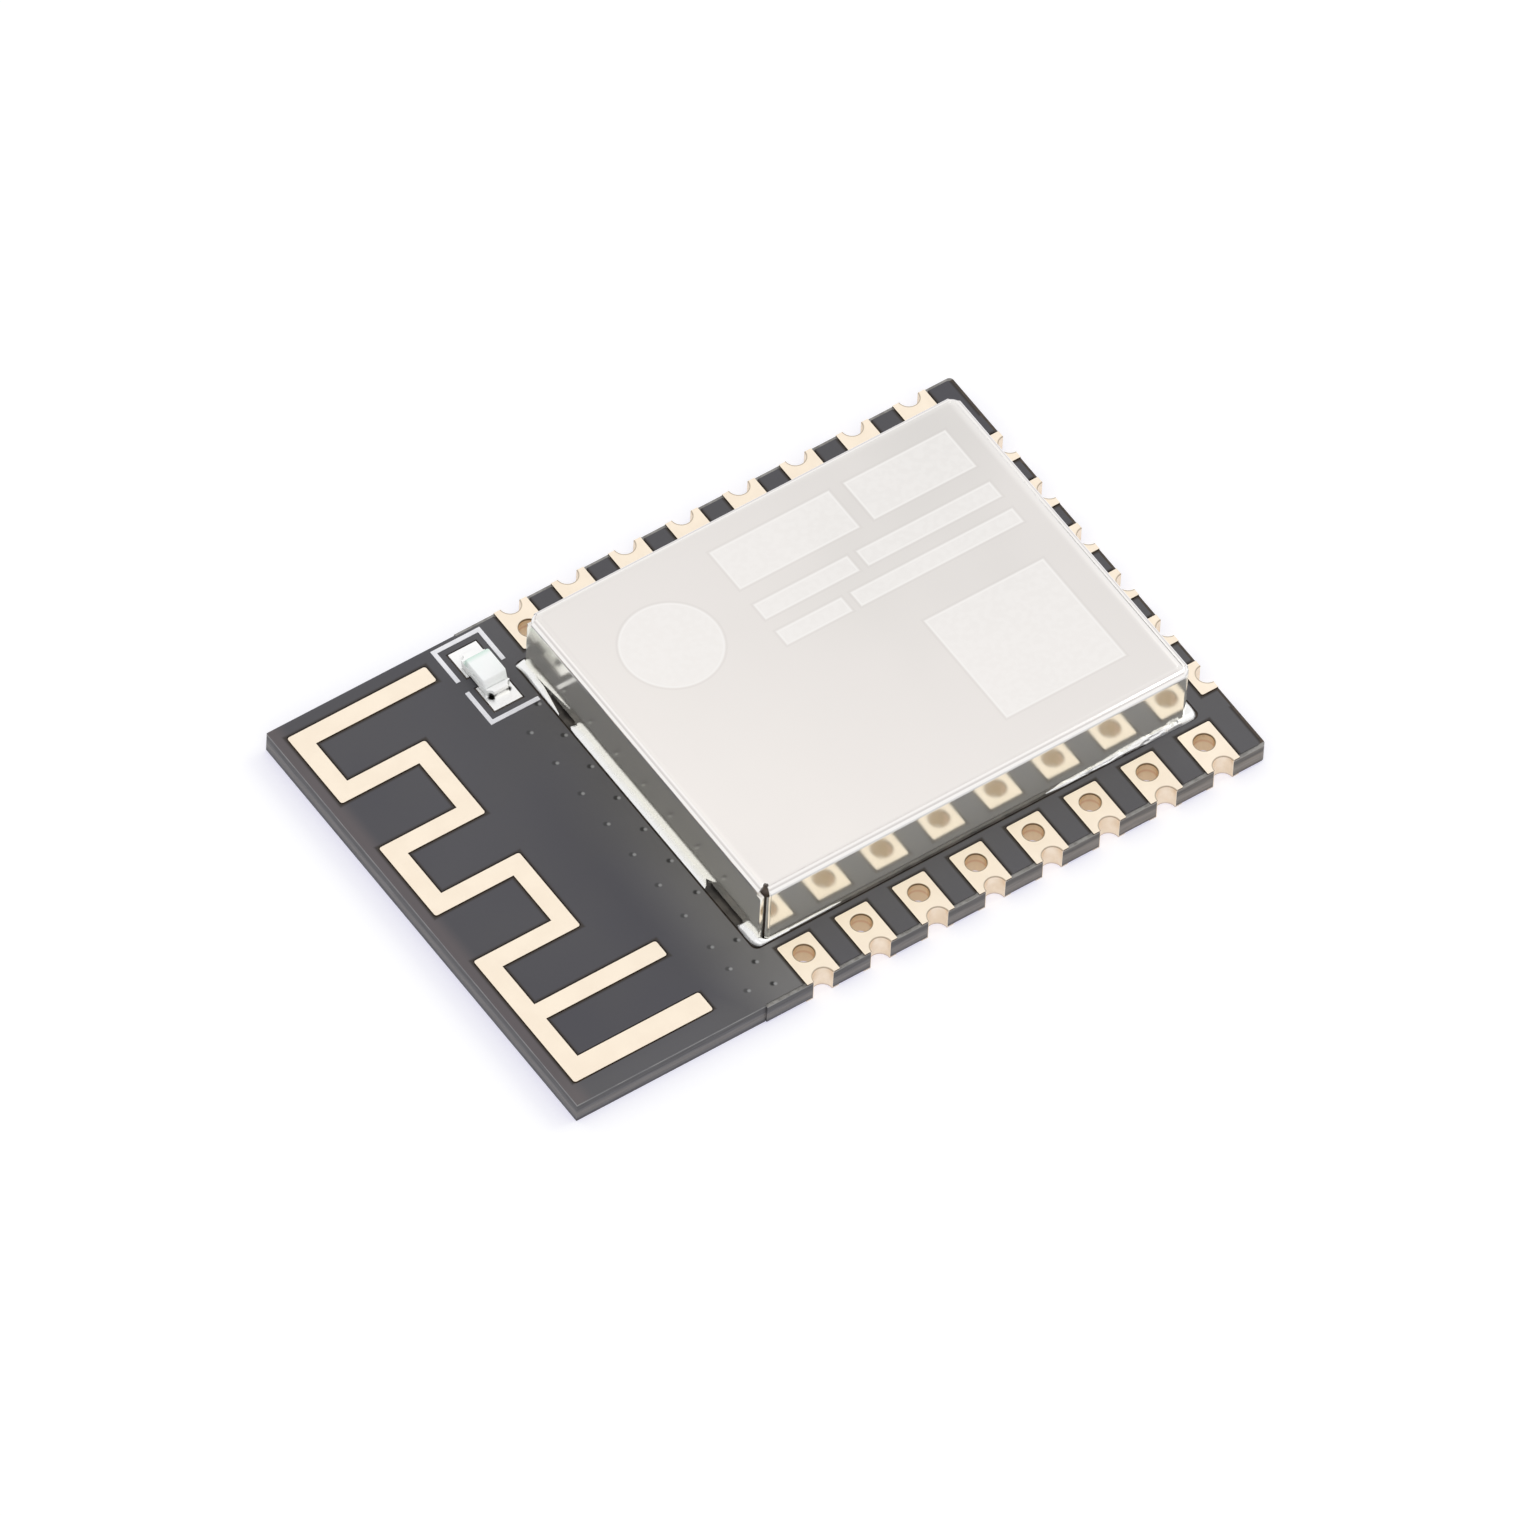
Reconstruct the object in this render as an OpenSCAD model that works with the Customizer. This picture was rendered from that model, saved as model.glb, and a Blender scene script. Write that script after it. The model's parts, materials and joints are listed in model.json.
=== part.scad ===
// Surface-mount radio module: a castellated circuit board with a printed meander antenna,
// a status lamp and a folded metal shield over the radio circuit. Millimetres.
// X runs from the antenna end to the plain end, Y across the board, Z up from the pads' soles.

/* [Board] */
// Thickness of the bare laminate
core_t = 0.7; // [0.4:0.05:1.2]
// Thickness of the plated copper on each face
cu_t = 0.05; // [0.045:0.005:0.09]
// Thickness of the solder mask on each face
mask_t = 0.04; // [0.02:0.005:0.045]
// Gap between the mask and the copper it leaves bare
mask_gap = 0.05; // [0.03:0.01:0.08]
// Bare laminate rim where the terminals are
mask_pullback = 0.1; // [0.02:0.01:0.15]
// Length of the antenna end, which is routed in a pass of its own
antenna_zone_l = 6.55; // [5.5:0.05:7]
// How much further in that pass cuts each long edge
edge_step = 0.06; // [0.02:0.01:0.1]
// Radius of the board's corners at the plain end
corner_r = 0.15; // [0.05:0.01:0.3]

/* [Terminals] */
// Distance between neighbouring terminals
pitch = 2; // [1.8:0.05:2.54]
// Terminals on each long side
side_count = 8; // [2:1:8]
// Terminals on the plain end
end_count = 6; // [2:1:6]
// Width of a terminal's pad along the edge
pad_w = 1.13; // [1:0.01:1.3]
// Length of a side terminal's pad, in from the edge
side_pad_l = 1.57; // [1.4:0.01:2]
// Length of an end terminal's pad, in from the edge
end_pad_l = 0.57; // [0.5:0.01:1]
// Radius of a pad's corners
pad_r = 0.06; // [0.03:0.01:0.15]
// From the edge to the centre of a side terminal's plated hole
hole_inset = 1; // [0.95:0.01:1.05]
// Finished radius of the plated hole
hole_r = 0.32; // [0.25:0.01:0.36]
// Finished radius of the half hole in the edge
notch_r = 0.33; // [0.25:0.01:0.36]
// Thickness of the plating in a hole
plating = 0.018; // [0.01:0.001:0.019]

/* [Antenna] */
// Width of the antenna's trace
trace_w = 0.6; // [0.4:0.05:0.7]
// Radius of the trace's outer corners
trace_r = 0.08; // [0.03:0.01:0.15]
// Width of the grounding stub's trace
stub_w = 0.74; // [0.5:0.02:0.8]
// From the antenna end to the trace's centre line
trace_inset = 0.68; // [0.5:0.02:0.8]
// From the far side to the first arm's centre line
trace_far = 0.84; // [0.7:0.02:1]
// From the near side to the grounding stub's centre line
stub_near = 1.12; // [0.9:0.02:1.3]
// Distance between the meander's two columns
meander_w = 2.7; // [2.2:0.05:3]
// From a column's centre line to the tips of the open arm and the feeding arms
arm_l = 4.5; // [4:0.05:5]
// Distance from the first arm to the second
arm_step_1 = 2.21; // [1.8:0.01:2.6]
// Distance from the second arm to the third
arm_step_2 = 2.51; // [1.8:0.01:2.6]
// Distance from the third arm to the fourth
arm_step_3 = 2.31; // [1.8:0.01:2.6]
// Distance from the fourth arm to the fifth
arm_step_4 = 2.53; // [1.8:0.01:2.6]
// Distance from the feeding arm to the grounding stub
feed_step = 2.26; // [1.8:0.01:2.4]
// From the arms' tips to the lamp's white outline
arm_clear = 0.415; // [0.2:0.005:0.6]

/* [Shield] */
// How far the shield reaches past the first terminals' centres, towards the antenna
shield_lead = 0.87; // [0.7:0.01:1.2]
// How far it reaches past the last side terminals' centres
shield_tail = 0.2; // [0:0.01:0.3]
// Width of the shield
shield_w = 12.1; // [10.8:0.1:13.5]
// Height of the shield above the copper
shield_h = 2.25; // [2.2:0.05:3.2]
// Thickness of its sheet
sheet_t = 0.15; // [0.1:0.01:0.17]
// Outer radius of its bends
bend_r = 0.22; // [0.2:0.01:0.4]
// How far past a bend the sheet is notched at each corner
notch_in = 0.08; // [0.05:0.01:0.15]
// Radius of the relief in the notch's inner corner
relief_r = 0.08; // [0.05:0.01:0.1]
// How far the tabs of the wall by the antenna stop short of the corners
tab_in = 0.12; // [0.03:0.01:0.25]
// How far those of the wall at the plain end do
tab_in_plain = 0.27; // [0.03:0.01:0.27]
// How far below the bends those tabs start
tab_drop = 0.05; // [0.02:0.01:0.2]
// Height of the gaps under the end walls, for washing flux out
wash_h = 0.12; // [0.06:0.01:0.2]
// How far the grounding ring shows outside the end walls
ring_end = 0.22; // [0.16:0.01:0.3]
// How far the grounding ring shows outside the side walls
ring_side = 0.07; // [0.05:0.01:0.2]
// How far the grounding ring reaches inside the walls
ring_in = 0.35; // [0.2:0.01:0.45]
// Rim of the ring that the solder leaves bare
solder_bare = 0.015; // [0.01:0.005:0.04]
// From the ring to the side terminals
side_clear = 0.31; // [0.2:0.01:0.4]
// From the ring to the end terminals
end_clear = 0.51; // [0.4:0.01:0.8]
// Length of an end wall's foot at its near corner
near_foot = 0.9; // [0.6:0.05:1]
// Length of the flux gap beside that foot
near_wash_l = 1.65; // [1:0.05:1.8]
// Length of an end wall's foot at its far corner
far_foot = 1.45; // [0.6:0.05:1.6]
// Length of the flux gap beside that foot
far_wash_l = 1.2; // [1:0.05:1.8]
// Length of the solder on a long wall at the antenna's end
joint_lead_l = 2.8; // [1:0.1:4]
// Length of the solder on a long wall at the plain end
joint_tail_l = 4.9; // [1:0.1:5]
// From a flux gap to the solder beside it
solder_in = 0.06; // [0.02:0.01:0.1]

/* [Ground vias] */
// Radius of a filled ground via
via_r = 0.1; // [0.07:0.01:0.13]
// Vias in each column's near group
via_near_count = 3; // [1:1:3]
// Distance between those
via_near_pitch = 0.93; // [0.7:0.01:0.95]
// Vias in each column's far group
via_far_count = 7; // [1:1:7]
// Distance between those in the column next to the shield
via_pitch_in = 1.35; // [0.8:0.01:1.36]
// Distance between those in the other column
via_pitch_out = 1.31; // [0.8:0.01:1.35]
// From the near side to the first via of the column next to the shield
via_first = 0.6; // [0.4:0.05:0.7]
// From the near side to the first via of its far group
via_far_first = 4.5; // [3.5:0.05:4.6]
// How much further on the other column's near group starts
via_stagger = 0.2; // [0:0.05:0.4]
// How much less far on the other column's far group starts
via_lead = 0.5; // [0:0.05:0.6]
// From the shield to the nearer column
via_gap = 0.5; // [0.4:0.01:0.6]
// Distance between the two columns
via_columns = 0.78; // [0.5:0.02:0.9]

/* [Status lamp] */
// Length of the lamp's base
lamp_l = 1.6; // [1.4:0.05:1.7]
// Width of the lamp's base
lamp_w = 0.8; // [0.6:0.05:0.9]
// Thickness of the lamp's base
lamp_base_t = 0.2; // [0.15:0.01:0.3]
// Height of the lens over the base
lens_h = 0.3; // [0.2:0.01:0.4]
// Length of the lens
lens_l = 1.16; // [0.9:0.02:1.18]
// Length of the lamp's wrapped ends
lamp_end_l = 0.2; // [0.16:0.01:0.2]
// Thickness of the metal on the lamp's ends
lamp_end_t = 0.04; // [0.02:0.01:0.06]
// Radius of the quarter notch in each corner of the lamp's ends
lamp_notch_r = 0.15; // [0.1:0.01:0.18]
// Side of each of the lamp's copper pads
lamp_pad = 0.97; // [0.9:0.01:1.05]
// Distance between the centres of those pads
lamp_pads_apart = 1.43; // [1.4:0.01:1.5]
// From the far side to the middle of the lamp
lamp_far = 1.76; // [1.72:0.01:1.85]
// Width of the white outline's stroke
silk_w = 0.14; // [0.12:0.01:0.2]
// Thickness of the white ink
silk_t = 0.02; // [0.01:0.005:0.03]
// Gap between the white outline and the lamp's pads
silk_gap = 0.23; // [0.15:0.01:0.3]
// From the white outline to the shield's ring
silk_clear = 0.105; // [0.06:0.005:0.2]
// Half the break between the two halves of the outline
silk_break = 0.22; // [0.1:0.01:0.4]

/* [Radio circuit] */
// Side of the square radio chip
soc_l = 5; // [4.5:0.1:5.2]
// Height of the radio chip
soc_h = 0.85; // [0.7:0.05:1]
// Contacts on each side of the radio chip
soc_contacts = 8; // [2:1:9]
// Distance between those contacts
soc_pitch = 0.5; // [0.4:0.05:0.5]
// Width of a contact
contact_w = 0.25; // [0.2:0.01:0.3]
// Length of a contact under the chip
contact_l = 0.4; // [0.3:0.05:0.5]
// Thickness of the contacts
contact_t = 0.05; // [0.02:0.01:0.08]
// How far a contact's copper shows past the chip
contact_show = 0.2; // [0.1:0.05:0.3]
// Side of the heat pad under the chip
heat_pad = 3.1; // [2.5:0.1:3.4]
// How far the radio chip's middle lies from the shield's, towards the near side
soc_shift = 1.3; // [0.8:0.05:1.4]
// Length of the memory chip's body
flash_l = 4.9; // [4.6:0.1:5]
// Width of the memory chip's body
flash_w = 3.9; // [3.6:0.1:4]
// Height of the memory chip's body, over its standoff
flash_h = 1.45; // [1.2:0.05:1.55]
// Gap under the memory chip's body
flash_lift = 0.1; // [0.05:0.01:0.15]
// Distance across the memory chip's leads
flash_span = 6; // [5.8:0.05:6.1]
// Thickness of those leads
lead_t = 0.2; // [0.15:0.01:0.25]
// Width of those leads
lead_w = 0.42; // [0.35:0.01:0.5]
// Distance between those leads
lead_pitch = 1.27; // [1.1:0.01:1.35]
// Length of a lead's foot
foot_l = 0.55; // [0.4:0.05:0.7]
// Margin of copper round a foot
foot_pad = 0.06; // [0.02:0.01:0.1]
// Length of the crystal
crystal_l = 3.2; // [3:0.1:3.3]
// Width of the crystal
crystal_w = 2.5; // [2.2:0.1:2.6]
// Height of the crystal's ceramic base
crystal_base_h = 0.5; // [0.4:0.05:0.6]
// Height of the crystal's metal lid
crystal_lid_h = 0.25; // [0.15:0.05:0.35]
// Rim of the base round the lid
lid_inset = 0.15; // [0.1:0.01:0.25]
// Length of a pad under the crystal
crystal_pad_l = 1.1; // [0.8:0.05:1.2]
// Width of a pad under the crystal
crystal_pad_w = 0.9; // [0.6:0.05:1]
// Length of a chip capacitor, resistor or inductor
chip_l = 1; // [0.9:0.05:1.05]
// Width of one
chip_w = 0.5; // [0.4:0.05:0.55]
// Height of a capacitor
capacitor_h = 0.5; // [0.4:0.05:0.55]
// Height of a resistor
resistor_h = 0.35; // [0.3:0.01:0.4]
// Height of the inductor
inductor_h = 0.55; // [0.45:0.05:0.6]
// Length of each metal end of a chip
chip_end_l = 0.25; // [0.18:0.01:0.3]
// Margin of copper round a chip's end
chip_pad = 0.08; // [0.05:0.01:0.1]
// Distance between neighbours in a row of chips
chip_row = 1.6; // [1.3:0.05:1.8]
// Distance between neighbours in the column by the antenna
chip_column = 2; // [1.4:0.05:2.2]
// Least clearance round a component
part_gap = 0.3; // [0.2:0.01:0.32]

/* [Hidden] */
$fn = 48;

cut = 1;
core_z = cu_t;
top_z = core_z + core_t;
board_top = top_z + cu_t;
mask_top = top_z + mask_t;
drill_r = hole_r + plating;
notch_drill_r = notch_r + plating;

// The board's outline follows from what it carries and the clearances between
silk_l = lamp_pad + 2 * (silk_gap + silk_w);
shield_l = (side_count - 1) * pitch + shield_lead + shield_tail;
ring_l = shield_l + 2 * ring_end;
ring_w = shield_w + 2 * ring_side;
board_w = ring_w + 2 * (side_clear + side_pad_l);
board_l = trace_inset + arm_l + arm_clear + silk_l + silk_clear + ring_l + end_clear + end_pad_l;
x_ant = -board_l / 2;
x_end = board_l / 2;
y_far = board_w / 2;

shield_x = x_end - end_pad_l - end_clear - ring_l / 2;
shield_x0 = shield_x - shield_l / 2;
bend_cut = bend_r + notch_in;
fold_z = shield_h - bend_r;

side_xs = [for (i = [0 : side_count - 1])
  shield_x + shield_l / 2 - shield_tail - (side_count - 1 - i) * pitch];
end_ys = [for (i = [0 : end_count - 1]) (i - (end_count - 1) / 2) * pitch];

lamp_x = shield_x0 - ring_end - silk_clear - silk_l / 2;
lamp_y = y_far - lamp_far;

arm_y1 = y_far - trace_far;
arm_y2 = arm_y1 - arm_step_1;
arm_y3 = arm_y2 - arm_step_2;
arm_y4 = arm_y3 - arm_step_3;
arm_y5 = arm_y4 - arm_step_4;
stub_y = -y_far + stub_near;
feed_y = stub_y + feed_step;
col_a = x_ant + trace_inset;
col_b = col_a + meander_w;
tip_x = col_a + arm_l;

// Layout under the shield, from the edges of the clear area inside the ring
chip_half = chip_w / 2 + chip_pad;
in_x0 = shield_x0 + sheet_t + ring_in;
in_x1 = shield_x0 + shield_l - sheet_t - ring_in;
in_y = shield_w / 2 - sheet_t - ring_in;
match_x = in_x0 + part_gap + chip_half;
soc_x = match_x + chip_half + part_gap + contact_show + soc_l / 2;
soc_at = [soc_x, -soc_shift];
soc_x1 = soc_x + soc_l / 2 + contact_show;
flash_at = [in_x1 - part_gap - flash_l / 2, 0];
mid_x = (soc_x1 + flash_at[0] - flash_l / 2) / 2;
crystal_at = [soc_x, in_y - part_gap - crystal_w / 2];
row_y = in_y - part_gap - chip_half;
caps_x = soc_x + crystal_l / 2 + part_gap + chip_l / 2 + chip_pad;
res_x = soc_x1 + part_gap + chip_l / 2 + chip_pad;
capacitors = concat([for (i = [0 : 3]) [caps_x + i * chip_row, row_y, 0]],
  [for (i = [-1, 0]) [match_x, i * chip_column, 90]], [for (i = [-1, 1]) [mid_x, i * chip_row, 90]]);
resistors = [for (i = [0 : 2]) [res_x + i * chip_row, -row_y, 0]];
inductors = [[match_x, chip_column, 90]];

mask_black = [0.13, 0.13, 0.14];
laminate = [0.5, 0.47, 0.42];
gold = [0.95, 0.86, 0.68];
tin = [0.85, 0.85, 0.84];
plastic_black = [0.1, 0.1, 0.11];

// Rounded rectangle, centred
module plate(l, w, r) {
  square([l - 2 * r, w], center = true);
  square([l, w - 2 * r], center = true);
  for (x = [-1, 1], y = [-1, 1])
    translate([x * (l / 2 - r), y * (w / 2 - r)]) circle(r);
}

module outline(pull, zone_pull) {
  l = board_l - antenna_zone_l - pull;
  w = board_w - 2 * pull;
  translate([x_ant, -board_w / 2 + edge_step + zone_pull])
    square([antenna_zone_l, board_w - 2 * (edge_step + zone_pull)]);
  translate([x_ant + antenna_zone_l, -w / 2]) square([l - corner_r, w]);
  translate([x_end - pull - l / 2, 0]) plate(l, w, corner_r);
}

// Pad of one terminal, the edge along X through the origin; g widens it for the mask's window
module pad_area(l, g = 0) {
  intersection() {
    plate(pad_w + 2 * g, 2 * (l + g), pad_r + g);
    translate([-pad_w, -g]) square([2 * pad_w, l + 2 * g + cut]);
  }
}

module half_ring(r_out, r_in) {
  intersection() {
    difference() { circle(r_out); circle(r_in); }
    translate([-r_out, 0]) square([2 * r_out, r_out]);
  }
}

// The drilled hole, whose wall the plating hides
module drill_2d() circle(drill_r);

module terminal_body(l, with_hole) {
  color(gold) {
    for (z = [0, top_z]) translate([0, 0, z]) linear_extrude(cu_t) difference() {
      pad_area(l);
      circle(notch_r);
      if (with_hole) translate([0, hole_inset]) circle(hole_r);
    }
    translate([0, 0, core_z]) linear_extrude(core_t) {
      half_ring(notch_drill_r, notch_r);
      if (with_hole) translate([0, hole_inset]) difference() { drill_2d(); circle(hole_r); }
    }
  }
}

// Places a child for each terminal: near side, plain end, far side, counted round the board
module at_near(i) translate([side_xs[i], -board_w / 2]) children();
module at_end(i) translate([x_end, end_ys[i]]) rotate(90) children();
module at_far(i) translate([side_xs[i], board_w / 2]) rotate(180) children();
module at_sides() {
  for (i = [0 : side_count - 1]) { at_near(i) children(); at_far(i) children(); }
}
module at_ends() { for (i = [0 : end_count - 1]) at_end(i) children(); }

module terminal(n) {
  if (n <= 8) { if (n <= side_count) at_near(n - 1) terminal_body(side_pad_l, true); }
  else if (n <= 14) { if (n - 8 <= end_count) at_end(n - 9) terminal_body(end_pad_l, false); }
  else if (23 - n <= side_count) at_far(22 - n) terminal_body(side_pad_l, true);
}

// A straight run of trace between two points that share a row or a column, g wider all round
module run(a, b, g) {
  w = trace_w + 2 * g;
  translate([(a[0] + b[0]) / 2, (a[1] + b[1]) / 2])
    plate(abs(a[0] - b[0]) + w, abs(a[1] - b[1]) + w, trace_r + g);
}

module antenna_2d(g = 0) {
  e = trace_w / 2;
  path = [[tip_x - e, arm_y1], [col_a, arm_y1], [col_a, arm_y2], [col_b, arm_y2],
    [col_b, arm_y3], [col_a, arm_y3], [col_a, arm_y4], [col_b, arm_y4],
    [col_b, arm_y5], [col_a, arm_y5], [col_a, stub_y]];
  for (i = [0 : len(path) - 2]) run(path[i], path[i + 1], g);
  run([col_a, feed_y], [tip_x - e, feed_y], g);
  translate([(col_a - e + tip_x) / 2, stub_y])
    plate(arm_l + e + 2 * g, stub_w + 2 * g, trace_r + g);
}

module ring_2d(g = 0) {
  translate([shield_x, 0]) difference() {
    plate(ring_l + 2 * g, ring_w + 2 * g, bend_r);
    square([shield_l - 2 * (sheet_t + ring_in + g), shield_w - 2 * (sheet_t + ring_in + g)],
      center = true);
  }
}

// Two columns of vias, each as [x, near group's start, far group's start, far group's pitch]
via_x = shield_x0 - via_gap;
via_columns_at = [[via_x, via_first, via_far_first, via_pitch_in],
  [via_x - via_columns, via_first + via_stagger, via_far_first - via_lead, via_pitch_out]];
module at_vias() {
  for (c = via_columns_at) translate([c[0], -y_far]) {
    for (i = [0 : via_near_count - 1]) translate([0, c[1] + i * via_near_pitch]) children();
    for (i = [0 : via_far_count - 1]) translate([0, c[2] + i * c[3]]) children();
  }
}

module at_chips(list) {
  for (c = list) translate([c[0], c[1]]) rotate(c[2]) children();
}
module chip_pads_2d(g = 0) {
  for (s = [-1, 1]) translate([s * (chip_l - chip_end_l) / 2, 0])
    square([chip_end_l + 2 * (chip_pad + g), chip_w + 2 * (chip_pad + g)], center = true);
}

// A row of contacts under each side of the radio chip
module at_contacts() {
  for (q = [0 : 3], i = [0 : soc_contacts - 1]) translate(soc_at) rotate(90 * q)
    translate([(i - (soc_contacts - 1) / 2) * soc_pitch, -soc_l / 2]) children();
}
module at_leads() {
  for (s = [0, 1], i = [0 : 3]) translate(flash_at) rotate(180 * s)
    translate([(i - 1.5) * lead_pitch, -flash_span / 2]) children();
}
module at_crystal_corners(l, w) {
  for (x = [-1, 1], y = [-1, 1])
    translate([crystal_at[0] + x * (crystal_l - l) / 2, crystal_at[1] + y * (crystal_w - w) / 2])
      children();
}

module component_pads_2d(g = 0) {
  for (list = [capacitors, resistors, inductors]) at_chips(list) chip_pads_2d(g);
  m = foot_pad + g;
  at_contacts() translate([-contact_w / 2 - g, -contact_show - g])
    square([contact_w + 2 * g, contact_l + contact_show + 2 * g]);
  translate(soc_at) square(heat_pad + 2 * g, center = true);
  at_leads() translate([-lead_w / 2 - m, -m]) square([lead_w + 2 * m, foot_l + 2 * m]);
  at_crystal_corners(crystal_pad_l, crystal_pad_w)
    square([crystal_pad_l + 2 * g, crystal_pad_w + 2 * g], center = true);
}

module at_lamp() translate([lamp_x, lamp_y]) children();
module lamp_pads_2d(g = 0) {
  at_lamp() for (s = [-1, 1]) translate([0, s * lamp_pads_apart / 2])
    square(lamp_pad + 2 * g, center = true);
}

module board() {
  color(laminate) translate([0, 0, core_z]) linear_extrude(core_t) difference() {
    outline(0, 0);
    at_sides() { circle(notch_drill_r); translate([0, hole_inset]) drill_2d(); }
    at_ends() circle(notch_drill_r);
    at_vias() circle(via_r, $fn = 8);
  }
}

module pad_windows() {
  at_sides() pad_area(side_pad_l, mask_gap);
  at_ends() pad_area(end_pad_l, mask_gap);
}

module solder_mask_top() {
  color(mask_black) translate([0, 0, top_z]) linear_extrude(mask_t) difference() {
    outline(mask_pullback, 0);
    pad_windows();
    antenna_2d(mask_gap);
    ring_2d(mask_gap);
    lamp_pads_2d(mask_gap);
    component_pads_2d(mask_gap);
  }
}

module solder_mask_bottom() {
  color(mask_black) translate([0, 0, core_z - mask_t]) linear_extrude(mask_t) difference() {
    outline(mask_pullback, 0);
    pad_windows();
  }
}

module antenna_trace() color(gold) translate([0, 0, top_z]) linear_extrude(cu_t) antenna_2d();

module ground_vias() {
  color(gold) translate([0, 0, core_z]) linear_extrude(core_t) at_vias() circle(via_r, $fn = 8);
}

module ground_ring() color(tin) translate([0, 0, top_z]) linear_extrude(cu_t) ring_2d();

module component_pads() {
  color(gold) translate([0, 0, top_z]) linear_extrude(cu_t) component_pads_2d();
}

// Cross-section of the folded sheet: a roof and two walls with round bends
module fold_2d(w) {
  difference() {
    union() {
      plate_top(w, shield_h, bend_r);
      translate([-w / 2, 0]) square([w, fold_z]);
    }
    plate_top(w - 2 * sheet_t, shield_h - sheet_t, bend_r - sheet_t);
    translate([-w / 2 + sheet_t, -cut]) square([w - 2 * sheet_t, fold_z + cut]);
  }
}
module plate_top(w, h, r) {
  translate([-w / 2 + r, h / 2]) square([w - 2 * r, h / 2]);
  translate([-w / 2, h / 2]) square([w, h / 2 - r]);
  for (s = [-1, 1]) translate([s * (w / 2 - r), h - r]) circle(r);
}

// Flux gaps under an end wall, from its middle: [start, end]
end_gaps = [[-shield_w / 2 + near_foot, -shield_w / 2 + near_foot + near_wash_l],
  [shield_w / 2 - far_foot - far_wash_l, shield_w / 2 - far_foot]];

module shield_can() {
  color([0.86, 0.86, 0.85]) translate([shield_x, 0, board_top]) difference() {
    union() {
      rotate([90, 0, 0]) translate([0, 0, -shield_w / 2 + bend_cut])
        linear_extrude(shield_w - 2 * bend_cut) fold_2d(shield_l);
      rotate([90, 0, 90]) translate([0, 0, -shield_l / 2 + bend_cut])
        linear_extrude(shield_l - 2 * bend_cut) fold_2d(shield_w);
      for (e = [[-1, tab_in], [1, tab_in_plain]])
        translate([e[0] * (shield_l - sheet_t) / 2 - sheet_t / 2, -shield_w / 2 + e[1], 0])
          cube([sheet_t, shield_w - 2 * e[1], fold_z - tab_drop]);
    }
    for (x = [-1, 1], y = [-1, 1])
      translate([x * (shield_l / 2 - bend_cut), y * (shield_w / 2 - bend_cut), fold_z])
        cylinder(h = shield_h, r = relief_r);
    for (g = end_gaps) translate([-shield_l / 2 - cut, g[0], -cut])
      cube([shield_l + 2 * cut, g[1] - g[0], wash_h + cut]);
  }
}

// Hollow fillet of solder in the corner of two walls, s wide and l long
module fillet(s, l) {
  rotate([90, 0, 90]) linear_extrude(l) difference() {
    square(s);
    translate([s, s]) circle(s);
  }
}

// Solder on the feet of an end wall and at both ends of a long wall: [start, end]
end_joints = [[-shield_w / 2 + bend_cut, end_gaps[0][0] - solder_in],
  [end_gaps[0][1] + solder_in, end_gaps[1][0] - solder_in],
  [end_gaps[1][1] + solder_in, shield_w / 2 - bend_cut]];
side_joints = [[-shield_l / 2 + bend_cut, -shield_l / 2 + bend_cut + joint_lead_l],
  [shield_l / 2 - bend_cut - joint_tail_l, shield_l / 2 - bend_cut]];

module shield_solder() {
  se = ring_end - solder_bare;
  ss = ring_side - solder_bare;
  color(tin) translate([shield_x, 0, board_top]) {
    for (g = end_joints) {
      translate([-shield_l / 2, g[0], 0]) rotate(90) fillet(se, g[1] - g[0]);
      translate([shield_l / 2, g[1], 0]) rotate(-90) fillet(se, g[1] - g[0]);
    }
    for (g = side_joints) {
      translate([g[0], shield_w / 2, 0]) fillet(ss, g[1] - g[0]);
      translate([g[1], -shield_w / 2, 0]) rotate(180) fillet(ss, g[1] - g[0]);
    }
  }
}

module silkscreen() {
  reach = (lamp_pads_apart + lamp_pad) / 2 + silk_gap + silk_w;
  leg = reach - silk_break;
  color([0.9, 0.9, 0.92]) translate([lamp_x, lamp_y, mask_top]) linear_extrude(silk_t) {
    for (y = [-reach, reach - silk_w]) translate([-silk_l / 2, y]) square([silk_l, silk_w]);
    for (x = [-silk_l / 2, silk_l / 2 - silk_w]) translate([x, silk_break]) square([silk_w, leg]);
    translate([-silk_l / 2, -reach]) square([silk_w, leg]);
  }
}

module lamp_pads() color(gold) translate([0, 0, top_z]) linear_extrude(cu_t) lamp_pads_2d();

module lamp_plan() {
  difference() {
    square([lamp_w, lamp_l], center = true);
    for (x = [-1, 1], y = [-1, 1]) translate([x * lamp_w / 2, y * lamp_l / 2]) circle(lamp_notch_r);
  }
}
lamp_z = board_top + lamp_end_t;
module lamp_base() {
  color([0.93, 0.93, 0.88]) translate([lamp_x, lamp_y, lamp_z]) linear_extrude(lamp_base_t) lamp_plan();
}
module lamp_terminals() {
  color(tin) translate([lamp_x, lamp_y, board_top]) for (s = [-1, 1]) {
    for (z = [0, lamp_end_t + lamp_base_t]) translate([0, 0, z]) linear_extrude(lamp_end_t)
      intersection() {
        lamp_plan();
        translate([-lamp_w / 2, s * (lamp_l - lamp_end_l) / 2 - lamp_end_l / 2])
          square([lamp_w, lamp_end_l]);
      }
  }
}
module lamp_lens() {
  r = 0.12;
  color([0.9, 0.95, 0.92]) translate([lamp_x, lamp_y, lamp_z + lamp_base_t]) {
    rotate([90, 0, 90]) translate([0, 0, -lamp_w / 2]) linear_extrude(lamp_w) {
      polygon([[-lens_l / 2, 0], [lens_l / 2, 0], [lens_l / 2 - r, lens_h], [-lens_l / 2 + r, lens_h]]);
    }
  }
}
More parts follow.
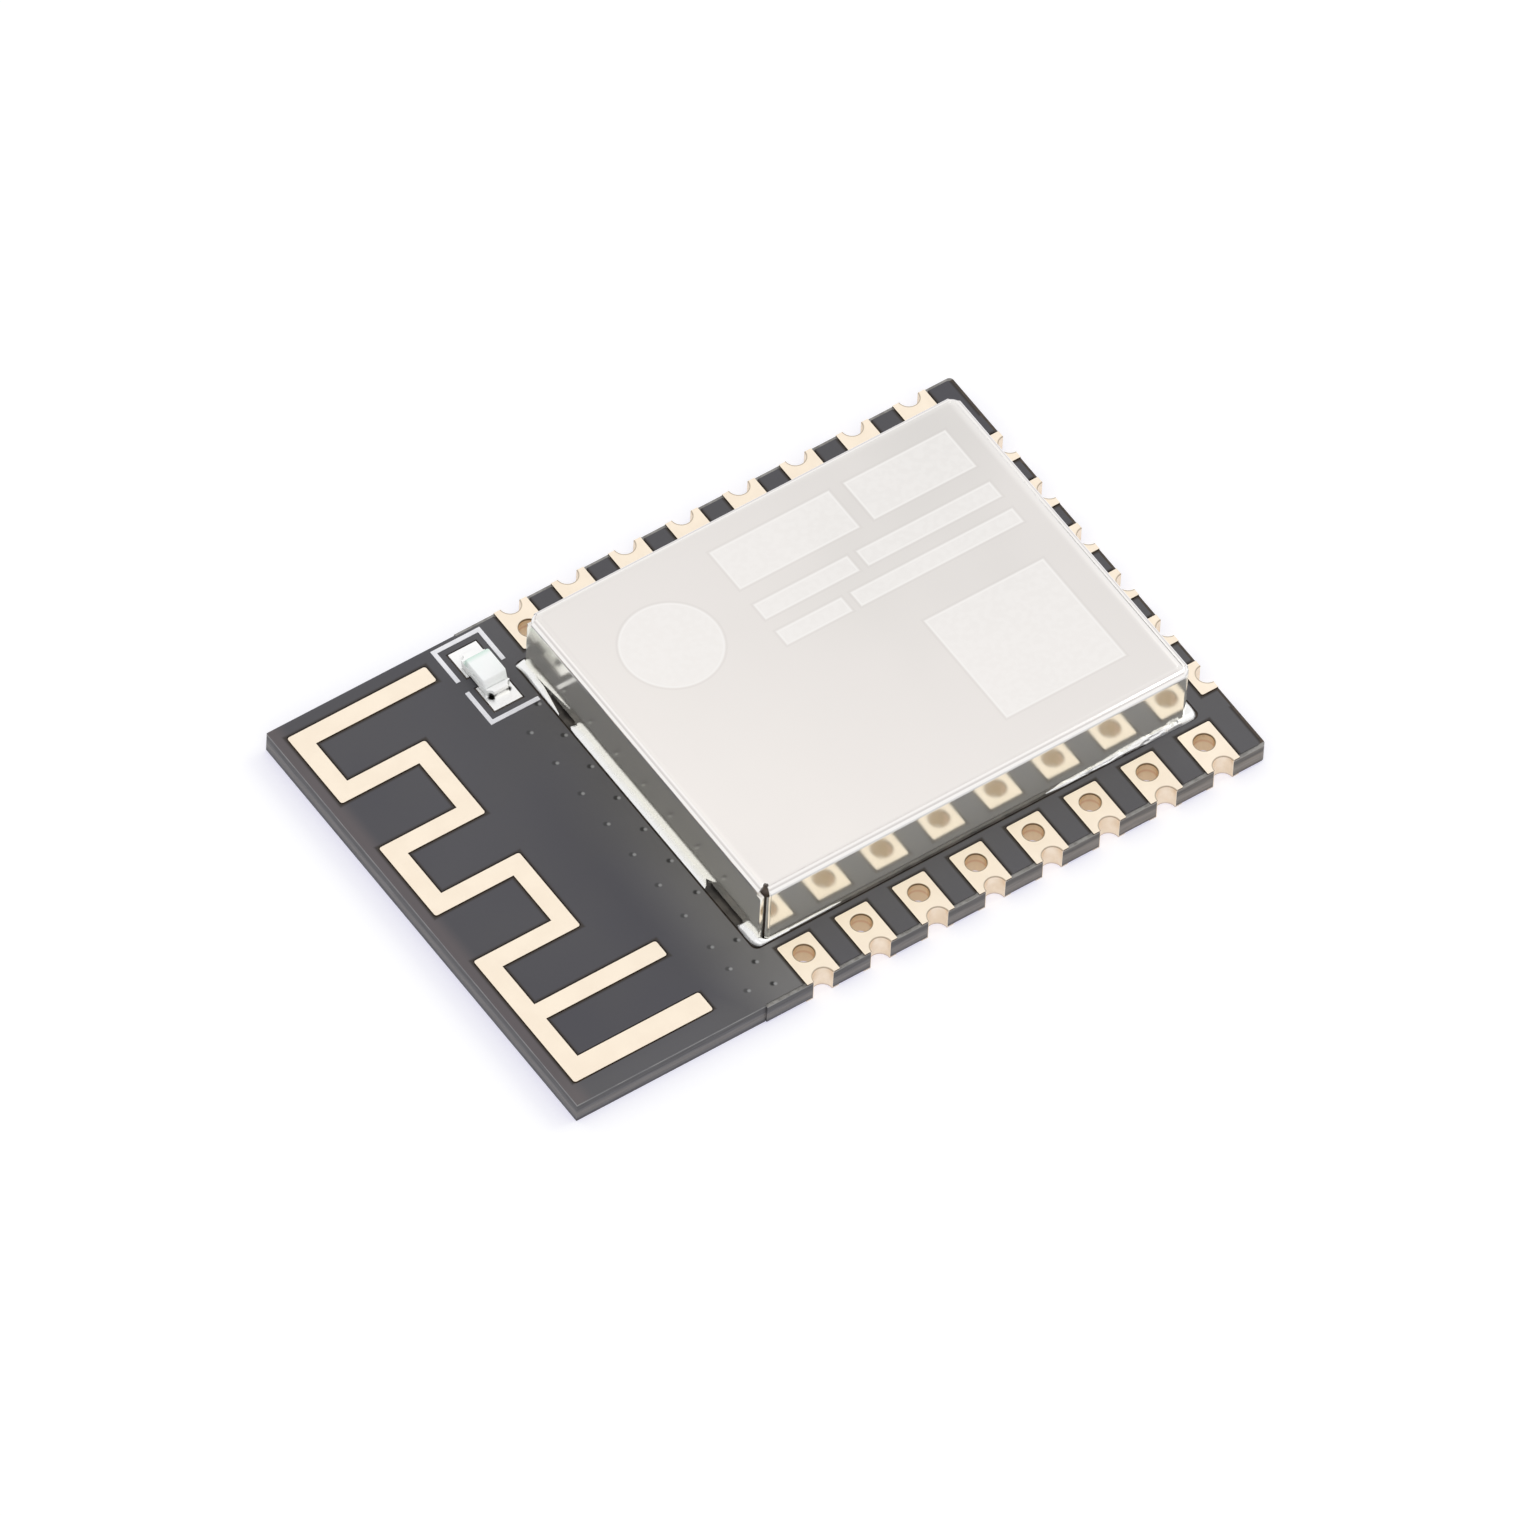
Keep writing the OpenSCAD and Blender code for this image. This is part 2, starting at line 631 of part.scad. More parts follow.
module lamp_solder() {
  s = lamp_end_t + lamp_base_t;
  l = lamp_w - 2 * lamp_notch_r;
  color(tin) translate([lamp_x, lamp_y, board_top]) {
    translate([-l / 2, lamp_l / 2, 0]) fillet(s, l);
    translate([l / 2, -lamp_l / 2, 0]) rotate(180) fillet(s, l);
  }
}

module radio_chip() {
  color(plastic_black) translate([soc_at[0], soc_at[1], board_top + contact_t]) linear_extrude(soc_h)
    square(soc_l, center = true);
}
module radio_contacts() {
  color(tin) translate([0, 0, board_top]) linear_extrude(contact_t) {
    at_contacts() translate([-contact_w / 2, 0]) square([contact_w, contact_l]);
    translate(soc_at) square(heat_pad, center = true);
  }
}

lead_z = flash_lift + flash_h * 0.4;
module memory_chip() {
  r = 0.18;
  h = board_top + flash_lift;
  color(plastic_black) translate([flash_at[0], flash_at[1], h]) rotate([90, 0, 90])
    translate([0, 0, -flash_l / 2]) linear_extrude(flash_l)
      polygon([[-flash_w / 2 + r, 0], [flash_w / 2 - r, 0], [flash_w / 2, lead_z - flash_lift],
        [flash_w / 2, lead_z + lead_t - flash_lift], [flash_w / 2 - r, flash_h],
        [-flash_w / 2 + r, flash_h], [-flash_w / 2, lead_z + lead_t - flash_lift],
        [-flash_w / 2, lead_z - flash_lift]]);
}
// Gull-wing leads: a foot, a rising shank and a shoulder that meets the body
module memory_leads() {
  reach = (flash_span - flash_w) / 2;
  color(tin) translate([0, 0, board_top]) at_leads() translate([-lead_w / 2, 0, 0])
    rotate([90, 0, 90]) linear_extrude(lead_w) {
      square([foot_l, lead_t]);
      translate([foot_l - lead_t, 0]) square([lead_t, lead_z + lead_t]);
      translate([foot_l - lead_t, lead_z]) square([reach - foot_l + lead_t, lead_t]);
    }
}

lid_r = 0.25;
base_r = 0.15;
module crystal_base() {
  color([0.35, 0.33, 0.3]) translate([crystal_at[0], crystal_at[1], board_top])
    linear_extrude(crystal_base_h) plate(crystal_l, crystal_w, base_r);
}
module crystal_lid() {
  color(tin) translate([crystal_at[0], crystal_at[1], board_top + crystal_base_h])
    linear_extrude(crystal_lid_h) plate(crystal_l - 2 * lid_inset, crystal_w - 2 * lid_inset, lid_r);
}

module chip_bodies(list, h) {
  translate([0, 0, board_top]) linear_extrude(h) at_chips(list)
    square([chip_l - 2 * chip_end_l, chip_w], center = true);
}
module chip_ends(list, h) {
  color(tin) translate([0, 0, board_top]) linear_extrude(h) at_chips(list)
    for (s = [-1, 1]) translate([s * (chip_l - chip_end_l) / 2, 0])
      square([chip_end_l, chip_w], center = true);
}
module capacitor_bodies() color([0.72, 0.6, 0.45]) chip_bodies(capacitors, capacitor_h);
module capacitor_ends() chip_ends(capacitors, capacitor_h);
module resistor_bodies() color(plastic_black) chip_bodies(resistors, resistor_h);
module resistor_ends() chip_ends(resistors, resistor_h);
module inductor_body() color([0.4, 0.45, 0.5]) chip_bodies(inductors, inductor_h);
module inductor_ends() chip_ends(inductors, inductor_h);

module terminal_01() terminal(1);
module terminal_02() terminal(2);
module terminal_03() terminal(3);
module terminal_04() terminal(4);
module terminal_05() terminal(5);
module terminal_06() terminal(6);
module terminal_07() terminal(7);
module terminal_08() terminal(8);
module terminal_09() terminal(9);
module terminal_10() terminal(10);
module terminal_11() terminal(11);
module terminal_12() terminal(12);
module terminal_13() terminal(13);
module terminal_14() terminal(14);
module terminal_15() terminal(15);
module terminal_16() terminal(16);
module terminal_17() terminal(17);
module terminal_18() terminal(18);
module terminal_19() terminal(19);
module terminal_20() terminal(20);
module terminal_21() terminal(21);
module terminal_22() terminal(22);

board();
solder_mask_top();
solder_mask_bottom();
antenna_trace();
terminal_01();
terminal_02();
terminal_03();
terminal_04();
terminal_05();
terminal_06();
terminal_07();
terminal_08();
terminal_09();
terminal_10();
terminal_11();
terminal_12();
terminal_13();
terminal_14();
terminal_15();
terminal_16();
terminal_17();
terminal_18();
terminal_19();
terminal_20();
terminal_21();
terminal_22();
ground_vias();
ground_ring();
component_pads();
shield_can();
shield_solder();
silkscreen();
lamp_pads();
lamp_base();
lamp_terminals();
lamp_lens();
lamp_solder();
radio_chip();
radio_contacts();
memory_chip();
memory_leads();
crystal_base();
crystal_lid();
capacitor_bodies();
capacitor_ends();
resistor_bodies();
resistor_ends();
inductor_body();
inductor_ends();
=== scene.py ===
import json
import math

import bpy
from mathutils import Matrix, Vector, noise


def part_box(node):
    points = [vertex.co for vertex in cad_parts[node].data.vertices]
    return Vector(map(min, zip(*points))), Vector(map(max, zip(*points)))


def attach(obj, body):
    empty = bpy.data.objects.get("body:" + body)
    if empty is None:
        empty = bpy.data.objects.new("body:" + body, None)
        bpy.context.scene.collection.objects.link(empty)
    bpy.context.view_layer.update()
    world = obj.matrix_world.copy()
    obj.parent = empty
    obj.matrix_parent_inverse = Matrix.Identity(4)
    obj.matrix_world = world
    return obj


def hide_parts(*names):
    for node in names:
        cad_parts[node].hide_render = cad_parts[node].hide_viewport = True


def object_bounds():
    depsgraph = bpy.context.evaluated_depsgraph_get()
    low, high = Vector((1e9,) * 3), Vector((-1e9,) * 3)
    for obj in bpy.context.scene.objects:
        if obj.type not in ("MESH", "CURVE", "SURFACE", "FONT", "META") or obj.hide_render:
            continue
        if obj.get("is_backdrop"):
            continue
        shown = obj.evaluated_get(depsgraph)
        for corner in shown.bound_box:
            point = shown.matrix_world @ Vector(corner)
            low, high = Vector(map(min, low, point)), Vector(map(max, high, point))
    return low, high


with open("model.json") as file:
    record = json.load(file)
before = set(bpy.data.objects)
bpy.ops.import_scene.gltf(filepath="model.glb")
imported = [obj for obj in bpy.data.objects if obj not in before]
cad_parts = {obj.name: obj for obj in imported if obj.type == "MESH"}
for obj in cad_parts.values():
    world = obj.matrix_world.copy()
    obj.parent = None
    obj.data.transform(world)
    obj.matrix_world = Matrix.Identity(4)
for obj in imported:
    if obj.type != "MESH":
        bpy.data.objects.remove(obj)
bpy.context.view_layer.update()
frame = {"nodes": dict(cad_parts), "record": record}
nodes = frame["nodes"]
MM = 0.001


# ---------------------------------------------------------------- places on the part, in mm

def box_mm(name):
    """A node's lowest and highest corners."""
    low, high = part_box(name)
    return low / MM, high / MM


BOARD_LOW, BOARD_HIGH = box_mm("board")
CAN_LOW, CAN_HIGH = box_mm("shield_can")
RING_LOW, RING_HIGH = box_mm("ground_ring")
VIAS_LOW, VIAS_HIGH = box_mm("ground_vias")
FIRST_LOW, FIRST_HIGH = box_mm("terminal_01")
TRACE_LOW, TRACE_HIGH = box_mm("antenna_trace")
LENS_LOW, LENS_HIGH = box_mm("lamp_lens")

# Top of the board's copper, on which the solder lies
TOP = RING_HIGH.z

# Terminals of the two long sides: a pad with a hole and a half hole
PITCH = 2.0
FIRST_X = (FIRST_LOW.x + FIRST_HIGH.x) / 2
ROW_START_X = FIRST_X - 0.8
HOLE_Y = BOARD_HIGH.y - 1.0
HOLE_R = 0.32
NOTCH_R = 0.33
PAD_HALF = (FIRST_HIGH.x - FIRST_LOW.x) / 2
PAD_DEPTH = FIRST_HIGH.y - FIRST_LOW.y

# Terminals of the plain end: a shorter pad with a half hole
END_FIRST_Y = 1.0
END_PAD_DEPTH = 0.57
END_ROW_HALF = 5.7

# Groups of filled vias: x, the first one's y, step, count, and how strong the painted shade in the dimples
# over them is
VIA_R = 0.1
INNER_X = VIAS_HIGH.x - VIA_R
OUTER_X = VIAS_LOW.x + VIA_R
VIA_GROUPS = [
    (INNER_X, VIAS_LOW.y + 0.1, 0.93, 3, 1.0),
    (INNER_X, VIAS_LOW.y + 4.0, 1.35, 7, 1.0),
    (OUTER_X, VIAS_LOW.y + 0.3, 0.93, 3, 0.55),
    (OUTER_X, VIAS_LOW.y + 3.5, 1.31, 7, 0.55),
]

# Antenna: half the copper's width, the meander's width, the steps between its rows, and its two feeding arms
ARM_HALF = 0.3
MEANDER_W = 2.7
ROW_STEPS = (2.21, 2.51, 2.31, 2.53)
FEED_UP = 0.37
FEEDS_APART = 2.26

# Plain frosted fields on the roof, from the shield's near corner at the antenna end: x0, x1, y0, y1
FIELDS = [
    (5.77, 9.87, 9.55, 11.05),
    (10.47, 13.97, 9.55, 11.05),
    (5.77, 8.97, 8.25, 8.8),
    (9.37, 13.97, 8.25, 8.8),
    (5.77, 7.97, 7.15, 7.65),
    (8.37, 13.97, 7.15, 7.65),
    (9.57, 13.67, 1.55, 5.65),
]
DISC_X, DISC_Y, DISC_R = 2.92, 8.9, 1.5


# ---------------------------------------------------------------- the net behind a material

class Net:
    """A Principled material, with short calls for the maths, masks and mixes behind it. Places are in mm."""

    def __init__(self, name):
        self.mat = bpy.data.materials.new(name)
        self.mat.use_nodes = True
        self.tree = self.mat.node_tree
        self.shader = self.tree.nodes["Principled BSDF"]
        coords = self.tree.nodes.new("ShaderNodeTexCoord").outputs["Object"]
        scaled = self.tree.nodes.new("ShaderNodeVectorMath")
        scaled.operation = "SCALE"
        scaled.inputs["Scale"].default_value = 1 / MM
        self.tree.links.new(coords, scaled.inputs[0])
        self.at = scaled.outputs[0]
        self.x, self.y, self.z = self.split(self.at)
        geometry = self.tree.nodes.new("ShaderNodeNewGeometry")
        self.normal = self.split(geometry.outputs["True Normal"])

    def put(self, socket, value):
        """Link a socket to another, or set its value."""
        if isinstance(value, bpy.types.NodeSocket):
            self.tree.links.new(value, socket)
        elif isinstance(value, (tuple, list)) and len(socket.default_value) == 4:
            socket.default_value = (*value[:3], 1.0)
        else:
            socket.default_value = value

    def set(self, **inputs):
        """Fill inputs of the Principled shader."""
        for key, value in inputs.items():
            self.put(self.shader.inputs[key.replace("_", " ")], value)

    def split(self, vector):
        node = self.tree.nodes.new("ShaderNodeSeparateXYZ")
        self.put(node.inputs[0], vector)
        return node.outputs

    def math(self, kind, *values):
        node = self.tree.nodes.new("ShaderNodeMath")
        node.operation = kind
        for socket, value in zip(node.inputs, values):
            self.put(socket, value)
        return node.outputs[0]

    def plus(self, a, b):
        return self.math("ADD", a, b)

    def minus(self, a, b):
        return self.math("SUBTRACT", a, b)

    def times(self, a, b):
        return self.math("MULTIPLY", a, b)

    def absolute(self, value):
        return self.math("ABSOLUTE", value)

    def most(self, first, *more):
        for item in more:
            first = self.math("MAXIMUM", first, item)
        return first

    def least(self, first, *more):
        for item in more:
            first = self.math("MINIMUM", first, item)
        return first

    def ramp(self, value, low, high, out_low=0.0, out_high=1.0):
        """A smooth step from one result to another."""
        node = self.tree.nodes.new("ShaderNodeMapRange")
        node.interpolation_type = "SMOOTHSTEP"
        for socket, item in zip(node.inputs, (value, low, high, out_low, out_high)):
            self.put(socket, item)
        return node.outputs[0]

    def noise(self, scale, detail=3.0, stretch=(1, 1, 1)):
        """Noise from 0 to 1, with features about 1/scale mm long."""
        mapping = self.tree.nodes.new("ShaderNodeMapping")
        self.put(mapping.inputs["Vector"], self.at)
        mapping.inputs["Scale"].default_value = stretch
        node = self.tree.nodes.new("ShaderNodeTexNoise")
        node.inputs["Scale"].default_value = scale
        node.inputs["Detail"].default_value = detail
        self.put(node.inputs["Vector"], mapping.outputs[0])
        return self.ramp(node.outputs["Fac"], 0.3, 0.7)

    def mix(self, fac, a, b):
        """Colour a where the factor is 0, colour b where it is 1."""
        node = self.tree.nodes.new("ShaderNodeMix")
        node.data_type = "RGBA"
        for socket, value in zip((node.inputs[0], node.inputs[6], node.inputs[7]), (fac, a, b)):
            self.put(socket, value)
        return node.outputs[2]

    def paint(self, under, mask, over, strength=None):
        """Lay one colour over another where the mask is 1, wholly or at some strength."""
        if strength is not None:
            mask = self.times(mask, strength)
        return self.mix(mask, under, over)

    def bump(self, height, microns, below=None):
        node = self.tree.nodes.new("ShaderNodeBump")
        node.inputs["Strength"].default_value = 1.0
        node.inputs["Distance"].default_value = microns * 1e-6
        self.put(node.inputs["Height"], height)
        if below is not None:
            self.put(node.inputs["Normal"], below)
        return node.outputs[0]

    def up(self, low=0.4, high=0.9):
        """1 on faces that look up."""
        return self.ramp(self.normal[2], low, high)

    def side(self):
        """1 on near-vertical faces."""
        return self.ramp(self.absolute(self.normal[2]), 0.2, 0.6, 1.0, 0.0)

    def wrap(self, value, first, step):
        """Offset from the nearest of a row of places a step apart."""
        return self.math("WRAP", self.minus(value, first), step / 2, -step / 2)

    def far(self, dx, dy):
        """Length of an offset."""
        return self.math("SQRT", self.plus(self.times(dx, dx), self.times(dy, dy)))

    def outside(self, x0, x1, y0, y1):
        """Distance outside a rectangle, negative within it."""
        dx = self.minus(self.absolute(self.minus(self.x, (x0 + x1) / 2)), (x1 - x0) / 2)
        dy = self.minus(self.absolute(self.minus(self.y, (y0 + y1) / 2)), (y1 - y0) / 2)
        return self.most(dx, dy)

    def spot(self, dx, dy, radius, soft):
        """1 within a soft-edged disc."""
        return self.ramp(self.far(dx, dy), radius - soft, radius + soft, 1.0, 0.0)

    def band(self, value, middle, half, soft):
        """1 within a soft-edged band."""
        gap = self.absolute(self.minus(value, middle))
        return self.ramp(gap, half - soft, half + soft, 1.0, 0.0)


def simple(name, dark, light, scale, rough, metallic=0.0, bumps=()):
    """A material whose colour and roughness drift between two values, with bumps of (scale, microns)."""
    net = Net(name)
    drift = net.noise(scale)
    net.set(Base_Color=net.mix(drift, dark, light),
            Roughness=net.ramp(drift, 0, 1, *rough), Metallic=metallic)
    below = None
    for bump_scale, microns in bumps:
        below = net.bump(net.noise(bump_scale), microns, below)
    if below is not None:
        net.set(Normal=below)
    return net.mat


# ---------------------------------------------------------------- laminate

def cut_side(net, layers):
    """The board's cut side: cooler at the antenna end, with pale and dark plies and a scuffed top edge that
    carries a painted highlight.
    """
    cool = net.mix(layers, (0.073, 0.071, 0.083), (0.122, 0.12, 0.135))
    warm = net.mix(layers, (0.145, 0.125, 0.11), (0.25, 0.215, 0.185))
    colour = net.mix(net.ramp(net.x, BOARD_LOW.x + 6, BOARD_HIGH.x - 1), cool, warm)
    colour = net.paint(colour, net.band(net.z, 0.3, 0.12, 0.1), (0.27, 0.245, 0.225), 0.5)
    colour = net.paint(colour, net.ramp(net.z, 0.14, 0.03), (0.05, 0.045, 0.045))
    colour = net.paint(colour, net.band(net.z, 0.6, 0.09, 0.08), (0.06, 0.056, 0.056), 0.7)
    scuff = net.ramp(net.noise(1.4, 3.0, (1, 1, 5)), 0, 1, 0.45, 1.0)
    # painted highlight along the top edge, broken up by scuffs
    top_edge_highlight = net.ramp(net.z, BOARD_HIGH.z - 0.06, BOARD_HIGH.z - 0.01)
    return net.paint(colour, net.times(top_edge_highlight, scuff), (0.36, 0.35, 0.33))


def laminate_material():
    """Glass-epoxy: fibrous on the cut sides, pale on the bare rim, and painted dark brown shade in the
    mask's windows.
    """
    net = Net("laminate_cut")
    layers = net.noise(0.9, 4.0, (1, 1, 12))
    fibre = net.noise(6.0)
    # painted shade: the laminate in the mask's windows is dark brown
    window_shade = net.mix(fibre, (0.04, 0.027, 0.018), (0.075, 0.05, 0.033))
    bare_rim = net.mix(fibre, (0.2, 0.19, 0.175), (0.34, 0.33, 0.31))
    at_rim = net.ramp(net.absolute(net.y), BOARD_HIGH.y - 0.13, BOARD_HIGH.y - 0.1)
    top = net.mix(at_rim, window_shade, bare_rim)
    net.set(Base_Color=net.mix(net.up(), cut_side(net, layers), top), Roughness=0.45,
            Normal=net.bump(layers, 6))
    return net.mat


# ---------------------------------------------------------------- gold

def side_terminals(net):
    """Offset along the row from the nearest side terminal, and distance from the board's middle line."""
    return net.wrap(net.x, FIRST_X, PITCH), net.absolute(net.y)


def end_terminals(net):
    """Offsets from the nearest end terminal's half hole."""
    return net.minus(net.x, BOARD_HIGH.x), net.wrap(net.y, END_FIRST_Y, PITCH)


def hole_wall(net):
    """The plated hole's wall: tan with a darker streak, painted shade on the side that faces +Y, and dark
    under the rim.
    """
    colour = net.mix(net.band(net.z, 0.47, 0.04, 0.06), (0.98, 0.79, 0.56), (0.87, 0.585, 0.37))
    # painted shade on the side of the bore that faces +Y
    colour = net.paint(colour, net.ramp(net.normal[1], 0.0, 0.6), (0.68, 0.52, 0.28))
    return net.paint(colour, net.ramp(net.z, 0.71, 0.77), (0.19, 0.12, 0.055))


def half_hole_wall(net):
    """The half hole's wall: pale, a little darker at the bottom, with a brown line at the top."""
    colour = net.mix(net.noise(2.5), (0.92, 0.77, 0.6), (1.0, 0.87, 0.72))
    colour = net.paint(colour, net.ramp(net.z, 0.08, 0.0), (0.66, 0.56, 0.5))
    return net.paint(colour, net.ramp(net.z, TOP - 0.06, TOP), (0.35, 0.25, 0.17))


def gold_material():
    """Gold flash over copper: satin cream tops, with brown lines round the holes and along the edges, and
    painted shade on the pads' side faces.
    """
    net = Net("gold_flash")
    across, depth = side_terminals(net)
    hole_gap = net.far(across, net.minus(depth, HOLE_Y))
    side_notch_gap = net.far(across, net.minus(depth, BOARD_HIGH.y))
    notch_gap = net.least(side_notch_gap, net.far(*end_terminals(net)))

    drift = net.noise(1.2)
    top = net.mix(drift, (0.985, 0.862, 0.708), (1.0, 0.885, 0.735))
    rim = net.ramp(hole_gap, HOLE_R, HOLE_R + 0.035, 1.0, 0.0)
    notch_rim = net.times(net.ramp(notch_gap, NOTCH_R + 0.01, NOTCH_R + 0.045, 1.0, 0.0), 0.6)
    off_antenna = net.ramp(net.x, ROW_START_X + 0.08, ROW_START_X + 0.1)
    top = net.paint(top, net.times(net.most(rim, notch_rim), off_antenna), (0.2, 0.145, 0.075))

    in_hole = net.ramp(hole_gap, HOLE_R + 0.03, HOLE_R + 0.06, 1.0, 0.0)
    wall = net.mix(in_hole, half_hole_wall(net), hole_wall(net))
    # painted shade: the pads' side faces, away from the holes, are darkened near the top
    pad_side_shade = net.ramp(notch_gap, NOTCH_R + 0.03, NOTCH_R + 0.06)
    pad_side_shade = net.times(pad_side_shade, net.minus(1.0, in_hole))
    pad_side_shade = net.times(pad_side_shade, net.ramp(net.z, TOP - 0.08, TOP - 0.06))
    wall = net.paint(wall, pad_side_shade, (0.1, 0.065, 0.04))

    net.set(Base_Color=net.mix(net.side(), top, wall), Metallic=0.78,
            Roughness=net.ramp(drift, 0, 1, 0.34, 0.42), Normal=net.bump(net.noise(2.0), 1.2))
    return net.mat


# ---------------------------------------------------------------- solder mask

def antenna_rectangles():
    """The straight runs of the antenna's copper, as (x0, x1, y0, y1)."""
    left, tip = TRACE_LOW.x + ARM_HALF, TRACE_HIGH.x
    right = left + MEANDER_W
    row = TRACE_HIGH.y - ARM_HALF
    runs = [(left, tip, row, row)]
    for i, step in enumerate(ROW_STEPS):
        turn = right if i % 2 else left
        runs.append((turn, turn, row - step, row))
        row -= step
        runs.append((left, right, row, row))
    feed = TRACE_LOW.y + FEED_UP
    runs.append((left, left, feed, row))
    runs.append((left, tip, feed + FEEDS_APART, feed + FEEDS_APART))
    runs.append((left, tip, feed, feed))
    return [(x0 - ARM_HALF, x1 if x1 == tip else x1 + ARM_HALF, y0 - ARM_HALF, y1 + ARM_HALF)
            for x0, x1, y0, y1 in runs]


def gold_distance(net):
    """Distance from the antenna's copper and the terminals' pads."""
    antenna = net.least(*(net.outside(*run) for run in antenna_rectangles()))
    across, depth = side_terminals(net)
    end_dx, end_dy = end_terminals(net)
    side_pad = net.most(net.minus(net.absolute(across), PAD_HALF),
                        net.minus(BOARD_HIGH.y - PAD_DEPTH, depth),
                        net.minus(ROW_START_X, net.x))
    end_pad = net.most(net.minus(net.absolute(end_dy), PAD_HALF),
                       net.minus(-END_PAD_DEPTH, end_dx),
                       net.minus(depth, END_ROW_HALF))
    return net.least(antenna, side_pad, end_pad)


def mask_tone_and_sheen(net, drift, cloud):
    """Black with a cool drift, and painted light: lighter beside the shield for the light its walls throw,
    and painted sheen along the near side and at the antenna's end.
    """
    # painted light: the mask beside the shield, along the near side and at the antenna's end is made lighter
    shield_bounce_light = net.ramp(net.x, CAN_LOW.x - 2.53, CAN_LOW.x - 0.23)
    shield_bounce_light = net.times(shield_bounce_light, net.ramp(net.x, CAN_LOW.x + 0.17, CAN_LOW.x + 0.77, 1.0, 0.25))
    shield_bounce_light = net.times(shield_bounce_light, net.ramp(net.y, 3.0, -6.0, 0.25, 1.0))
    near_side_sheen = net.ramp(net.y, BOARD_LOW.y + 1.6, BOARD_LOW.y + 0.2, 0.0, 0.32)
    near_side_sheen = net.times(near_side_sheen, net.ramp(net.x, CAN_LOW.x + 0.17, CAN_LOW.x - 0.63))
    end_sheen = net.ramp(net.x, BOARD_LOW.x + 0.65, BOARD_LOW.x + 0.15, 0.0, 0.4)
    top_only = net.ramp(net.z, 0.4, 0.6)
    colour = net.mix(drift, (0.055, 0.053, 0.065), (0.067, 0.065, 0.075))
    colour = net.paint(colour, net.times(net.most(shield_bounce_light, near_side_sheen), top_only), (0.16, 0.156, 0.153))
    colour = net.paint(colour, net.times(end_sheen, top_only), (0.18, 0.14, 0.135))
    return net.paint(colour, cloud, (0.075, 0.072, 0.07), 0.2)


def via_marks(net):
    """Masks of the painted shade in the dimples over the filled vias and of the painted glints beside them.
    """
    pit_shades, glints = [], []
    for x, first, step, count, strength in VIA_GROUPS:
        dx, dy = net.minus(net.x, x), net.wrap(net.y, first, step)
        group = net.band(net.y, first + step * (count - 1) / 2, step * (count - 0.2) / 2, 0.01)
        pit_shades.append(net.times(net.spot(dx, dy, 0.075, 0.035), net.times(group, strength)))
        glint = net.spot(net.minus(dx, 0.072), net.plus(dy, 0.05), 0.05, 0.03)
        glints.append(net.times(glint, group))
    return net.most(*pit_shades), net.most(*glints)


def mask_material():
    """Black solder mask, with painted brown shade by the gold's edges, and painted shade and glints in the
    dimples over the filled vias.
    """
    net = Net("mask_black")
    drift = net.noise(0.12, 2.0)
    cloud = net.noise(0.45, 1.0)
    colour = mask_tone_and_sheen(net, drift, cloud)
    # painted shade: a dark brown band in the mask along the gold's edges
    gold_edge_shade = net.times(net.ramp(gold_distance(net), 0.05, 0.14, 1.0, 0.0), net.up())
    colour = net.paint(colour, gold_edge_shade, (0.022, 0.015, 0.011))
    pit_shades, glints = via_marks(net)
    # painted shade in the via dimples, then painted glints beside them
    colour = net.paint(colour, pit_shades, (0.004, 0.004, 0.005))
    colour = net.paint(colour, glints, (0.3, 0.3, 0.3))
    net.set(Base_Color=colour, Roughness=net.ramp(cloud, 0, 1, 0.29, 0.33), Normal=net.bump(drift, 14))
    return net.mat


# ---------------------------------------------------------------- shield

def frosted_distance(net):
    """Distance outside the roof's frosted fields, negative within them."""
    x, y = CAN_LOW.x, CAN_LOW.y
    from_middle = net.far(net.minus(net.x, x + DISC_X), net.minus(net.y, y + DISC_Y))
    fields = [net.outside(x + x0, x + x1, y + y0, y + y1) for x0, x1, y0, y1 in FIELDS]
    return net.least(net.minus(from_middle, DISC_R), *fields)


def roof_sheen(net, cloud):
    """The satin roof, with a painted sheen that is warmer and lighter at the antenna end and a painted
    highlight at the plain end's edge, and its frosted fields.
    """
    along = net.plus(net.x, net.times(net.y, 0.7))
    # painted sheen: a gradient across the flat roof
    colour = net.mix(net.ramp(along, -8.0, 13.0), (0.895, 0.858, 0.828), (0.715, 0.695, 0.675))
    colour = net.paint(colour, cloud, (0.845, 0.81, 0.79), 0.5)
    # painted highlight along the plain end's edge
    end_glow = net.ramp(net.x, CAN_HIGH.x - 0.5, CAN_HIGH.x - 0.25)
    colour = net.paint(colour, end_glow, (0.95, 0.93, 0.91), 0.6)
    gap = frosted_distance(net)
    grain = net.ramp(net.noise(5.0, 1.0), 0, 1, 0.48, 0.58)
    fill = net.times(net.ramp(gap, -0.03, 0.03, 1.0, 0.0), grain)
    rim = net.times(net.band(gap, 0.0, 0.04, 0.03), 0.75)
    colour = net.paint(colour, net.most(fill, rim), (0.945, 0.93, 0.915))
    return net.paint(colour, net.band(gap, 0.09, 0.03, 0.03), (0.66, 0.63, 0.61), 0.25)


